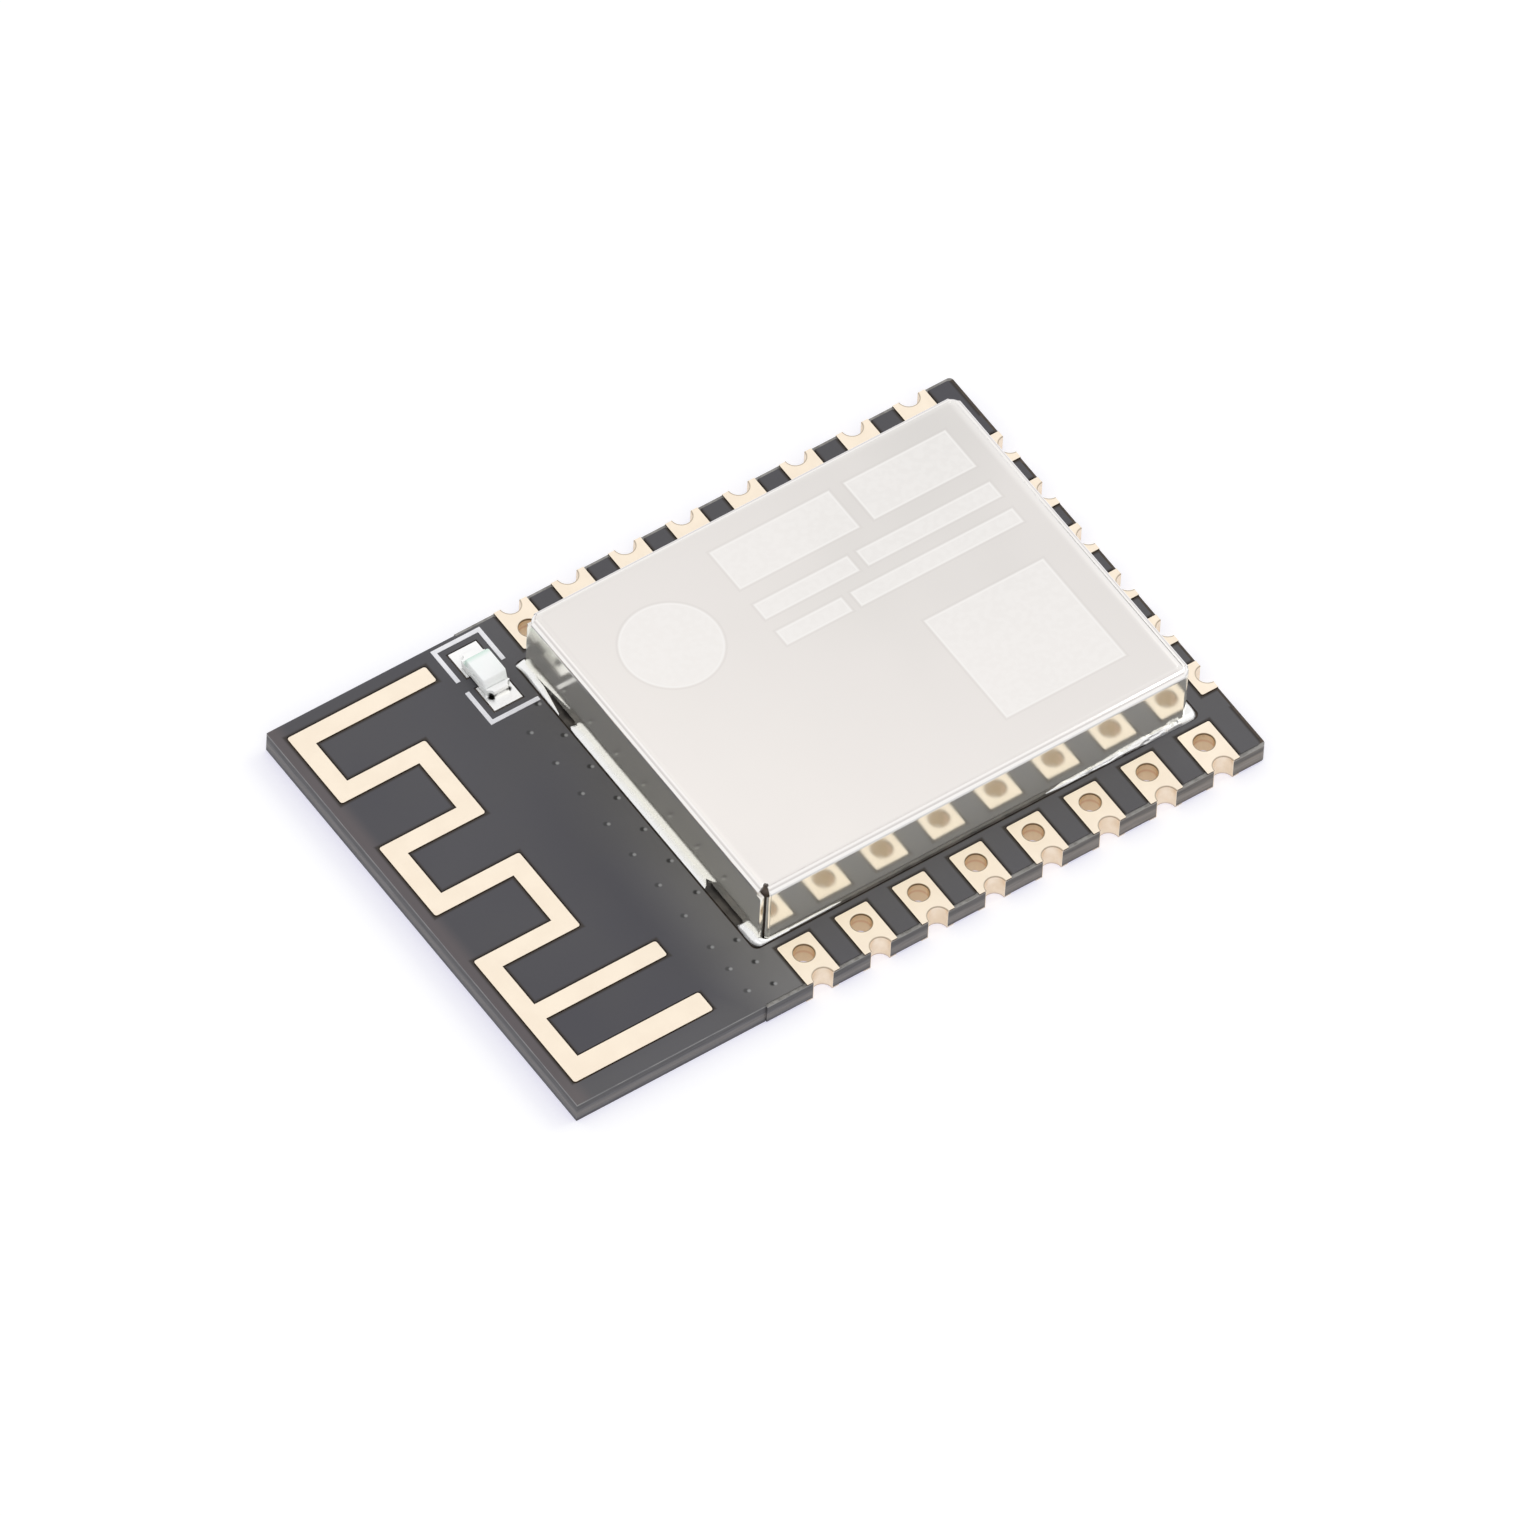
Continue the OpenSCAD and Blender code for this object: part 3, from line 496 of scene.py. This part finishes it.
def wall_sheen(net, cloud):
    """The polished walls, with painted reflections on the bends: lighter near the roof, and the lines that
    the bends show below the roof.
    """
    drop = net.minus(CAN_HIGH.z, net.z)
    colour = net.mix(cloud, (0.995, 0.975, 0.88), (1.0, 0.985, 0.91))
    # painted reflections of the bends: a lighter band and two darker lines under the roof
    colour = net.paint(colour, net.ramp(drop, 0.3, 0.12), (0.995, 0.975, 0.95))
    colour = net.paint(colour, net.band(drop, 0.036, 0.018, 0.016), (0.62, 0.575, 0.565), 0.65)
    return net.paint(colour, net.band(drop, 0.17, 0.03, 0.035), (0.42, 0.4, 0.38), 0.55)


def shield_material():
    """Nickel silver: a satin roof, and polished bends and walls."""
    net = Net("shield_sheet")
    roof = net.up(0.985, 0.9995)
    cloud = net.noise(0.16, 2.0)
    wall_metallic = net.ramp(net.absolute(net.normal[1]), 0.3, 0.8, 0.845, 0.8)
    net.set(Base_Color=net.mix(roof, wall_sheen(net, cloud), roof_sheen(net, cloud)),
            Metallic=net.ramp(roof, 0, 1, wall_metallic, 0.93),
            Roughness=net.ramp(roof, 0, 1, 0.14, 0.38), Normal=net.bump(cloud, 18))
    return net.mat


# ---------------------------------------------------------------- ring and lamp

def ring_material():
    """Tinned copper dulled by flux, and painted nearly black as the shade at the shield wall's foot."""
    net = Net("ring_flux_and_shade")
    drift = net.noise(2.0)
    # painted shade: the ring under the shield's walls is nearly black
    net.set(Base_Color=net.mix(drift, (0.03, 0.027, 0.025), (0.09, 0.08, 0.07)), Roughness=0.35,
            Metallic=0.3, Normal=net.bump(drift, 6))
    return net.mat


def lens_material():
    """Milky resin with a faint painted glow, greenish towards the far end."""
    net = Net("lens_resin")
    drift = net.noise(1.5)
    white = net.mix(drift, (0.97, 1.0, 0.98), (1.0, 1.0, 1.0))
    far_end = net.ramp(net.y, LENS_HIGH.y - 0.35, LENS_HIGH.y - 0.05)
    # the faint emission is a painted glow
    net.set(Base_Color=net.mix(far_end, white, (0.55, 0.78, 0.66)),
            Roughness=net.ramp(drift, 0, 1, 0.18, 0.28),
            Emission_Color=(0.95, 1.0, 0.97), Emission_Strength=0.09)
    return net.mat


def lamp_material(name, dark, light, metallic):
    """Solder or lamp body, with painted shade in the hollows low in the lamp's two near corners."""
    net = Net(name)
    drift = net.noise(2.0)
    colour = net.mix(drift, dark, light)
    middle = (LENS_LOW.x + LENS_HIGH.x) / 2
    dy = net.minus(net.y, LENS_LOW.y - 0.165)
    low_down = net.ramp(net.z, LENS_LOW.z - 0.12, LENS_LOW.z - 0.06, 1.0, 0.0)
    for hollow_x in (middle - 0.25, middle + 0.25):
        dx = net.times(net.minus(net.x, hollow_x), 0.7)
        # painted shade in the lamp's hollows
        hollow_shade = net.times(net.spot(dx, dy, 0.1, 0.03), low_down)
        colour = net.paint(colour, hollow_shade, (0.015, 0.013, 0.012))
    net.set(Base_Color=colour, Metallic=metallic, Roughness=net.ramp(drift, 0, 1, 0.3, 0.4),
            Normal=net.bump(drift, 2))
    return net.mat


# ---------------------------------------------------------------- every node gets its material

TIN = simple("bright_tin", (0.95, 0.95, 0.95), (1.0, 1.0, 0.995), 2.0, (0.2, 0.32), metallic=0.7,
             bumps=((1.3, 8), (3.0, 2)))
LAMP_TIN = lamp_material("lamp_tin", (0.98, 0.98, 0.98), (1.0, 1.0, 1.0), 0.88)
MATS = {
    "laminate": laminate_material(),
    "solder_mask": mask_material(),
    "pad_gold": gold_material(),
    "tinned": TIN,
    "shield_metal": shield_material(),
    "white_ink": simple("ink_white", (0.86, 0.855, 0.89), (0.94, 0.93, 0.96), 3.0, (0.5, 0.65),
                        bumps=((8.0, 2),)),
    "lamp_clear": lens_material(),
    "lamp_white": lamp_material("lamp_body", (0.9, 0.92, 0.9), (0.96, 0.96, 0.94), 0.0),
    "chip_black": simple("mould_black", (0.02, 0.02, 0.022), (0.03, 0.03, 0.032), 4.0, (0.5, 0.6),
                         bumps=((12.0, 2),)),
    "chip_ceramic": simple("chip_body", (0.3, 0.22, 0.14), (0.4, 0.3, 0.2), 4.0, (0.4, 0.5)),
}

for part in frame["record"]["subparts"]:
    node = nodes[part["node"]]
    node.data.materials.clear()
    node.data.materials.append(MATS[part["material_slot"]])
nodes["ground_ring"].data.materials[0] = ring_material()
for name in ("lamp_pads", "lamp_solder", "lamp_terminals"):
    nodes[name].data.materials[0] = LAMP_TIN


# ---------------------------------------------------------------- rounded edges of the shield and the lamp

SHARP_ANGLE = 35


def soften(obj, width_mm):
    """Round the sharp edges with modifiers; the vertices stay as they came."""
    for poly in obj.data.polygons:
        poly.use_smooth = True
    weld = obj.modifiers.new("weld", "WELD")
    weld.merge_threshold = 1e-6
    bevel = obj.modifiers.new("bevel", "BEVEL")
    bevel.width = width_mm * MM
    bevel.segments = 3
    bevel.limit_method = "ANGLE"
    bevel.angle_limit = math.radians(SHARP_ANGLE)
    bevel.harden_normals = False
    normal = obj.modifiers.new("normals", "WEIGHTED_NORMAL")
    normal.keep_sharp = False
    normal.weight = 100


soften(nodes["shield_can"], 0.045)
for name in ("lamp_lens", "lamp_base"):
    soften(nodes[name], 0.05)


# ---------------------------------------------------------------- meshes of the scene's own pieces

class Shape:
    """Points and faces gathered for one mesh."""

    def __init__(self):
        self.points = []
        self.faces = []

    def point(self, x, y, z):
        """Add a point, given in mm."""
        self.points.append(Vector((x, y, z)) * MM)

    def skin(self, start, rows, columns, order=(0, 1, 2, 3)):
        """Join the points of a grid from a start point on. The order of a face's corners turns it over."""
        for i in range(rows):
            for k in range(columns):
                a = start + i * (columns + 1) + k
                b = a + columns + 1
                quad = (a, a + 1, b + 1, b)
                self.faces.append(tuple(quad[n] for n in order))


def add_mesh(name, points, faces, mat):
    mesh = bpy.data.meshes.new(name)
    mesh.from_pydata([tuple(point) for point in points], [], faces)
    mesh.update()
    obj = bpy.data.objects.new(name, mesh)
    bpy.context.scene.collection.objects.link(obj)
    mesh.materials.append(mat)
    return obj


def add_piece(name, shape, mat):
    """Make a smooth-shaded piece that rides on the part."""
    obj = add_mesh(name, shape.points, shape.faces, mat)
    for poly in obj.data.polygons:
        poly.use_smooth = True
    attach(obj, "root")
    return obj


# ---------------------------------------------------------------- solder round the shield

LEFT, RIGHT = CAN_LOW.x, CAN_HIGH.x
NEAR, FAR = CAN_LOW.y, CAN_HIGH.y
END_W = CAN_LOW.x - RING_LOW.x - 0.01
SIDE_W = CAN_LOW.y - RING_LOW.y - 0.005
LEFT_EDGE, RIGHT_EDGE = LEFT - END_W, RIGHT + END_W
NEAR_EDGE = NEAR - SIDE_W


def in_steps(path, step):
    """Fill the gaps of a path of rows of numbers, about a step apart by their first two."""
    rows = []
    for a, b in zip(path, path[1:]):
        count = max(2, int(math.hypot(b[0] - a[0], b[1] - a[1]) / step))
        for i in range(count + (b is path[-1])):
            t = i / count
            rows.append([p + (q - p) * t for p, q in zip(a, b)])
    return rows


def bead(shape, path, lumps, seed, step=0.06):
    """Add a lumpy bead along a path of (x, y, outward x, outward y, width, height)."""
    ARC = 8
    start, rows = len(shape.points), in_steps(path, step)
    for x, y, nx, ny, width, height in rows:
        length = math.hypot(nx, ny) or 1.0
        nx, ny = nx / length, ny / length
        for k in range(ARC + 1):
            turn = k / ARC * math.pi / 2
            here = Vector((x * 1.7 + seed, y * 1.7, k * 0.35))
            swell = 1 + lumps * noise.noise(here) + 0.5 * lumps * noise.noise(here * 3.1)
            out = min(width * math.sin(turn) ** 0.8 * swell, width)
            rise = height * math.cos(turn) ** 0.9 * swell
            shape.point(x + nx * out, y + ny * out, TOP + max(rise, 0.0))
    shape.skin(start, len(rows) - 1, ARC, (0, 3, 2, 1))


def puddle(shape, path, seed, step=0.05):
    """Add solder that climbs from an outer to an inner edge, along a path of (x, y, x, y, height)."""
    ACROSS, LUMPS = 10, 0.12
    start, rows = len(shape.points), in_steps(path, step)
    for x0, y0, x1, y1, height in rows:
        for k in range(ACROSS + 1):
            t = k / ACROSS
            x, y = x0 + (x1 - x0) * t, y0 + (y1 - y0) * t
            swell = 1 + LUMPS * noise.noise(Vector((x * 4 + seed, y * 4, 0.5)))
            shape.point(x, y, TOP + math.sqrt(1 - (1 - t) ** 2) * (height * swell))
    shape.skin(start, len(rows) - 1, ACROSS)


def ball(shape, x, y, radius):
    """Add the upper half of a squat ball."""
    AROUND, ROWS, SQUASH = 14, 7, 0.8
    start = len(shape.points)
    for j in range(ROWS + 1):
        lean = j / ROWS * math.pi / 2
        for i in range(AROUND):
            turn = 2 * math.pi * i / AROUND
            shape.point(x + radius * math.cos(turn) * math.cos(lean),
                        y + radius * math.sin(turn) * math.cos(lean),
                        TOP + radius * SQUASH * math.sin(lean))
    for j in range(ROWS):
        for i in range(AROUND):
            a = start + j * AROUND + i
            b = start + j * AROUND + (i + 1) % AROUND
            shape.faces.append((a, b, b + AROUND, a + AROUND))


def antenna_side_ribbon(shape):
    """A long bright ribbon over the whole ring along the antenna side's wall."""
    puddle(shape, [(LEFT_EDGE, NEAR + 2.5, LEFT - 0.12, NEAR + 2.56, 0.02),
                   (LEFT_EDGE, NEAR + 2.62, LEFT, NEAR + 2.75, 0.05),
                   (LEFT_EDGE, NEAR + 4.0, LEFT, NEAR + 4.0, 0.06),
                   (LEFT_EDGE, NEAR + 7.0, LEFT, NEAR + 7.0, 0.07),
                   (LEFT_EDGE, NEAR + 9.1, LEFT, NEAR + 9.1, 0.08),
                   (LEFT_EDGE + 0.01, NEAR + 9.32, LEFT, NEAR + 9.3, 0.07),
                   (LEFT_EDGE + 0.05, NEAR + 9.42, LEFT - 0.03, NEAR + 9.4, 0.02)], seed=1)


def antenna_side_spur(shape):
    """Solder that starts narrow on the ring's outer edge, reaches the wall and ends in a flare."""
    puddle(shape, [(LEFT_EDGE, NEAR + 9.95, LEFT_EDGE + 0.03, NEAR + 9.98, 0.02),
                   (LEFT_EDGE, NEAR + 10.3, LEFT_EDGE + 0.1, NEAR + 10.4, 0.06),
                   (LEFT_EDGE, NEAR + 10.9, LEFT_EDGE + 0.19, NEAR + 11.0, 0.1),
                   (LEFT_EDGE, NEAR + 11.35, LEFT, NEAR + 11.45, 0.12),
                   (LEFT_EDGE + 0.02, NEAR + 11.72, LEFT + 0.01, NEAR + 11.78, 0.1),
                   (LEFT_EDGE + 0.01, NEAR + 11.88, LEFT + 0.04, NEAR + 11.95, 0.09),
                   (LEFT_EDGE - 0.04, NEAR + 12.08, LEFT + 0.07, NEAR + 12.14, 0.07),
                   (LEFT_EDGE - 0.02, NEAR + 12.12, LEFT + 0.05, NEAR + 12.17, 0.02)], seed=4)


def near_left_corner(shape):
    """Solder round the near corner at the antenna end, with a ball in the corner's slit."""
    puddle(shape, [(LEFT_EDGE + 0.04, NEAR + 0.9, LEFT - 0.03, NEAR + 0.88, 0.02),
                   (LEFT_EDGE, NEAR + 0.8, LEFT, NEAR + 0.78, 0.16),
                   (LEFT_EDGE - 0.02, NEAR + 0.42, LEFT, NEAR + 0.42, 0.22),
                   (LEFT_EDGE, NEAR + 0.22, LEFT + 0.01, NEAR + 0.3, 0.22),
                   (LEFT_EDGE + 0.04, NEAR + 0.08, LEFT + 0.03, NEAR + 0.2, 0.2),
                   (LEFT_EDGE + 0.11, NEAR - 0.02, LEFT + 0.07, NEAR + 0.13, 0.17),
                   (LEFT_EDGE + 0.21, NEAR - 0.08, LEFT + 0.12, NEAR + 0.06, 0.13),
                   (LEFT + 0.06, NEAR_EDGE - 0.01, LEFT + 0.16, NEAR + 0.02, 0.09),
                   (LEFT + 0.3, NEAR_EDGE, LEFT + 0.32, NEAR, 0.05),
                   (LEFT + 1.0, NEAR_EDGE + 0.015, LEFT + 1.0, NEAR, 0.02)], seed=2, step=0.03)
    ball(shape, LEFT + 0.13, NEAR + 0.03, 0.085)


def near_wall(shape):
    """A thin line of solder, then a crumpled bead that grows towards the plain end."""
    bead(shape, [(LEFT + 0.95, NEAR, 0, -1, 0.03, 0.02),
                 (LEFT + 1.2, NEAR, 0, -1, 0.04, 0.03),
                 (LEFT + 2.5, NEAR, 0, -1, 0.035, 0.03),
                 (LEFT + 2.8, NEAR, 0, -1, 0.01, 0.01)], lumps=0.3, seed=7)
    bead(shape, [(RIGHT - 5.1, NEAR, 0, -1, 0.01, 0.02),
                 (RIGHT - 4.5, NEAR, 0, -1, SIDE_W, 0.07),
                 (RIGHT - 2.8, NEAR, 0, -1, SIDE_W + 0.02, 0.13),
                 (RIGHT - 1.6, NEAR, 0, -1, SIDE_W + 0.04, 0.2),
                 (RIGHT - 0.4, NEAR, 0, -1, SIDE_W + 0.05, 0.2)], lumps=0.6, seed=9, step=0.04)


def near_right_corner(shape):
    """Solder round the near corner at the plain end."""
    puddle(shape, [(RIGHT - 0.5, NEAR_EDGE - 0.05, RIGHT - 0.48, NEAR + 0.04, 0.18),
                   (RIGHT - 0.2, NEAR_EDGE - 0.05, RIGHT - 0.28, NEAR + 0.08, 0.17),
                   (RIGHT + 0.03, NEAR_EDGE - 0.04, RIGHT - 0.2, NEAR + 0.15, 0.16),
                   (RIGHT + 0.13, NEAR_EDGE + 0.02, RIGHT - 0.15, NEAR + 0.2, 0.15),
                   (RIGHT + 0.19, NEAR + 0.07, RIGHT - 0.08, NEAR + 0.28, 0.14),
                   (RIGHT_EDGE, NEAR + 0.25, RIGHT - 0.03, NEAR + 0.45, 0.13),
                   (RIGHT_EDGE, NEAR + 0.66, RIGHT, NEAR + 0.7, 0.1),
                   (RIGHT_EDGE - 0.06, NEAR + 0.78, RIGHT, NEAR + 0.76, 0.02)], seed=11, step=0.04)


def plain_end_wall(shape):
    """Solder along the plain end's wall."""
    puddle(shape, [(RIGHT_EDGE - 0.05, NEAR + 2.56, RIGHT, NEAR + 2.6, 0.02),
                   (RIGHT_EDGE, NEAR + 2.7, RIGHT, NEAR + 2.75, 0.13),
                   (RIGHT_EDGE, FAR - 3.0, RIGHT, FAR - 3.0, 0.13),
                   (RIGHT_EDGE - 0.05, FAR - 2.7, RIGHT, FAR - 2.75, 0.02)], seed=12)


def far_wall(shape):
    """A bead from the plain end round the far corner, and one at the antenna end of the far wall."""
    bead(shape, [(RIGHT, FAR - 1.4, 1, 0, 0.03, 0.03),
                 (RIGHT, FAR - 1.2, 1, 0, 0.19, 0.16),
                 (RIGHT, FAR - 0.3, 1, 0, 0.19, 0.18),
                 (RIGHT - 0.1, FAR - 0.05, 1, 1, 0.16, 0.16),
                 (RIGHT - 0.4, FAR, 0, 1, SIDE_W, 0.12),
                 (RIGHT - 4.8, FAR, 0, 1, SIDE_W, 0.08),
                 (RIGHT - 5.1, FAR, 0, 1, 0.01, 0.02)], lumps=0.4, seed=15)
    bead(shape, [(LEFT + 0.35, FAR, 0, 1, 0.02, 0.02),
                 (LEFT + 0.6, FAR, 0, 1, SIDE_W, 0.08),
                 (LEFT + 2.8, FAR, 0, 1, SIDE_W, 0.06),
                 (LEFT + 3.1, FAR, 0, 1, 0.01, 0.01)], lumps=0.4, seed=18)


def solder_beads():
    """All the solder round the shield, as one piece."""
    shape = Shape()
    antenna_side_ribbon(shape)
    antenna_side_spur(shape)
    near_left_corner(shape)
    near_wall(shape)
    near_right_corner(shape)
    plain_end_wall(shape)
    far_wall(shape)
    beads = add_piece("solder_beads", shape, TIN)
    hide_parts("shield_solder")


solder_beads()


# ---------------------------------------------------------------- the shield's corners

BEND_R = 0.21


def corner(shape, x, y, out_x, out_y, radius, inset, high, spans=((0, 90),), bend_spans=((0, 90),)):
    """Add a rounded corner, inset from the walls: a quarter of a pillar, and the bend on top of it.

    The spans, in degrees, are the parts of the pillar and of the bend that are there.
    """
    TURNS, ROWS = 10, 6
    middle_x, middle_y = x - out_x * radius, y - out_y * radius
    pillar_r = radius - inset
    shoulder = high - inset - BEND_R
    pillar = [(TOP, pillar_r), (shoulder, pillar_r)]
    leans = [j / ROWS * math.pi / 2 for j in range(ROWS + 1)]
    bend = [(shoulder + BEND_R * math.sin(lean), pillar_r - BEND_R * (1 - math.cos(lean))) for lean in leans]
    order = (0, 1, 2, 3) if out_x * out_y > 0 else (3, 2, 1, 0)
    for levels, ranges in ((pillar, spans), (bend, bend_spans)):
        for first, last in ranges:
            start = len(shape.points)
            for z, reach in levels:
                for k in range(TURNS + 1):
                    turn = math.radians(first + (last - first) * k / TURNS)
                    shape.point(middle_x + out_x * reach * math.cos(turn),
                                middle_y + out_y * reach * math.sin(turn), z)
            shape.skin(start, len(levels) - 1, TURNS, order)


def disc(shape, x, y, z, radius):
    """Add a flat disc."""
    AROUND = 20
    start = len(shape.points)
    for i in range(AROUND):
        turn = 2 * math.pi * i / AROUND
        shape.point(x + radius * math.cos(turn), y + radius * math.sin(turn), z)
    shape.faces.append(tuple(range(start, start + AROUND)))


def corner_folds():
    """Polished folds: they close three corners and their relief holes, and leave a slit at the open one."""
    shape = Shape()
    for x, y, out_x, out_y in ((RIGHT, NEAR, 1, -1), (LEFT, FAR, -1, 1), (RIGHT, FAR, 1, 1)):
        corner(shape, x, y, out_x, out_y, 0.42, 0.012, CAN_HIGH.z)
        disc(shape, x - out_x * 0.33, y - out_y * 0.33, CAN_HIGH.z - 0.01, 0.15)
    corner(shape, LEFT, NEAR, -1, -1, 0.34, 0.01, CAN_HIGH.z, ((0, 34), (60, 90)), ((0, 14), (75, 90)))
    add_piece("corner_folds", shape, MATS["shield_metal"])


def corner_slit_shade():
    """A brown sheet behind the open corner's slit: it paints the shade seen through the slit."""
    shape = Shape()
    corner(shape, LEFT, NEAR, -1, -1, 0.46, 0.1, CAN_HIGH.z - 0.02)
    # a sheet put where there is only shade, to paint the slit brown
    brown = simple("slit_shade_brown", (0.05, 0.033, 0.025), (0.1, 0.07, 0.05), 4.0, (0.4, 0.5))
    add_piece("corner_slit_shade", shape, brown)


corner_folds()
corner_slit_shade()


# ---------------------------------------------------------------- floor and world

CAMERA_RAYS = ("Is Camera Ray",)
MIRROR_RAYS = ("Is Glossy Ray", "Is Transmission Ray")


def by_ray(tree, for_others, for_seen, kinds):
    """One shader for the kinds of rays that see a surface, another for all other rays."""
    path = tree.nodes.new("ShaderNodeLightPath")
    seen = path.outputs[kinds[0]]
    for kind in kinds[1:]:
        more = tree.nodes.new("ShaderNodeMath")
        more.operation = "MAXIMUM"
        tree.links.new(seen, more.inputs[0])
        tree.links.new(path.outputs[kind], more.inputs[1])
        seen = more.outputs[0]
    choose = tree.nodes.new("ShaderNodeMixShader")
    tree.links.new(seen, choose.inputs["Fac"])
    tree.links.new(for_others, choose.inputs[1])
    tree.links.new(for_seen, choose.inputs[2])
    return choose.outputs[0]


def floor_material():
    """White studio paper, lifted to white for the rays that see it, with a faint cool shadow."""
    mat = bpy.data.materials.new("studio_floor")
    mat.use_nodes = True
    tree = mat.node_tree
    tree.nodes.remove(tree.nodes["Principled BSDF"])

    def paper(colour):
        node = tree.nodes.new("ShaderNodeBsdfDiffuse")
        node.inputs["Color"].default_value = (*colour, 1.0)
        return node.outputs[0]

    def lifted(colour, glow, strength):
        light = tree.nodes.new("ShaderNodeEmission")
        light.inputs["Color"].default_value = (*glow, 1.0)
        light.inputs["Strength"].default_value = strength
        both = tree.nodes.new("ShaderNodeAddShader")
        tree.links.new(paper(colour), both.inputs[0])
        tree.links.new(light.outputs[0], both.inputs[1])
        return both.outputs[0]

    mirrored = lifted((0.6, 0.6, 0.61), (0.965, 0.97, 1.0), 0.44)
    seen = lifted((0.7, 0.72, 0.48), (0.69, 0.66, 1.0), 0.62)
    surface = by_ray(tree, paper((0.78, 0.78, 0.78)), mirrored, MIRROR_RAYS)
    surface = by_ray(tree, surface, seen, CAMERA_RAYS)
    tree.links.new(surface, tree.nodes["Material Output"].inputs["Surface"])
    return mat


def studio_floor():
    """A square of paper just under the part, in metres."""
    HALF, GAP = 0.6, 0.000005
    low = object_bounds()[0]
    corners = [(x, y, low.z) for x, y in ((-HALF, -HALF), (HALF, -HALF), (HALF, HALF), (-HALF, HALF))]
    floor = add_mesh("floor", corners, [(0, 1, 2, 3)], floor_material())
    floor.location.z = -GAP
    floor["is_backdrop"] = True


def studio_world():
    """Near-white for the rays that see it, and a plain lower level for the light it throws."""
    world = bpy.data.worlds.new("studio")
    bpy.context.scene.world = world
    world.use_nodes = True
    tree = world.node_tree
    seen = tree.nodes["Background"]
    seen.inputs["Color"].default_value = (1.0, 0.995, 0.99, 1.0)
    seen.inputs["Strength"].default_value = 0.97
    thrown = tree.nodes.new("ShaderNodeBackground")
    thrown.inputs["Color"].default_value = (0.98, 0.985, 1.0, 1.0)
    thrown.inputs["Strength"].default_value = 0.78
    surface = by_ray(tree, thrown.outputs[0], seen.outputs[0], CAMERA_RAYS + MIRROR_RAYS)
    tree.links.new(surface, tree.nodes["World Output"].inputs["Surface"])


studio_floor()
studio_world()


# ---------------------------------------------------------------- lamps and camera

def area_light(name, place, size, watts, colour):
    """A square lamp that faces the part, in metres."""
    data = bpy.data.lights.new(name, "AREA")
    data.shape = "SQUARE"
    data.size = size
    data.energy = watts
    data.color = colour
    lamp = bpy.data.objects.new(name, data)
    bpy.context.scene.collection.objects.link(lamp)
    lamp.location = place
    lamp.rotation_euler = (-Vector(place)).to_track_quat("-Z", "Y").to_euler()


def photo_camera():
    """The photo's camera: a long lens over the near side at the antenna end, a little tilted."""
    AZIMUTH, ELEVATION, ROLL = math.radians(-37.2), math.radians(52.584), math.radians(3.44)
    RANGE, SHIFT_X, SHIFT_Y = 0.87666, -0.2414 * MM, -0.5968 * MM
    LENS, SENSOR = 723.1, 36.0
    flat = math.cos(ELEVATION)
    back = Vector((math.sin(AZIMUTH) * flat, -math.cos(AZIMUTH) * flat, math.sin(ELEVATION)))
    level = Vector((math.cos(AZIMUTH), math.sin(AZIMUTH), 0.0))
    upward = back.cross(level)
    cam_x = level * math.cos(ROLL) + upward * math.sin(ROLL)
    cam_y = upward * math.cos(ROLL) - level * math.sin(ROLL)
    place = Vector((0, 0, TOP)) * MM + cam_x * SHIFT_X + cam_y * SHIFT_Y + back * RANGE
    data = bpy.data.cameras.new("camera")
    data.sensor_width = SENSOR
    data.lens = LENS
    data.clip_start = 0.05
    data.clip_end = 5.0
    camera = bpy.data.objects.new("camera", data)
    bpy.context.scene.collection.objects.link(camera)
    rows = [(cam_x[i], cam_y[i], back[i], place[i]) for i in range(3)]
    camera.matrix_world = Matrix(rows + [(0, 0, 0, 1)])
    return camera


area_light("key", (0.34, -0.02, 0.3), 0.22, 0.34, (1.0, 0.985, 0.96))
area_light("fill", (-0.16, -0.3, 0.26), 0.3, 0.12, (0.97, 0.98, 1.0))
bpy.context.scene.camera = photo_camera()
bpy.context.scene.view_settings.view_transform = "Standard"
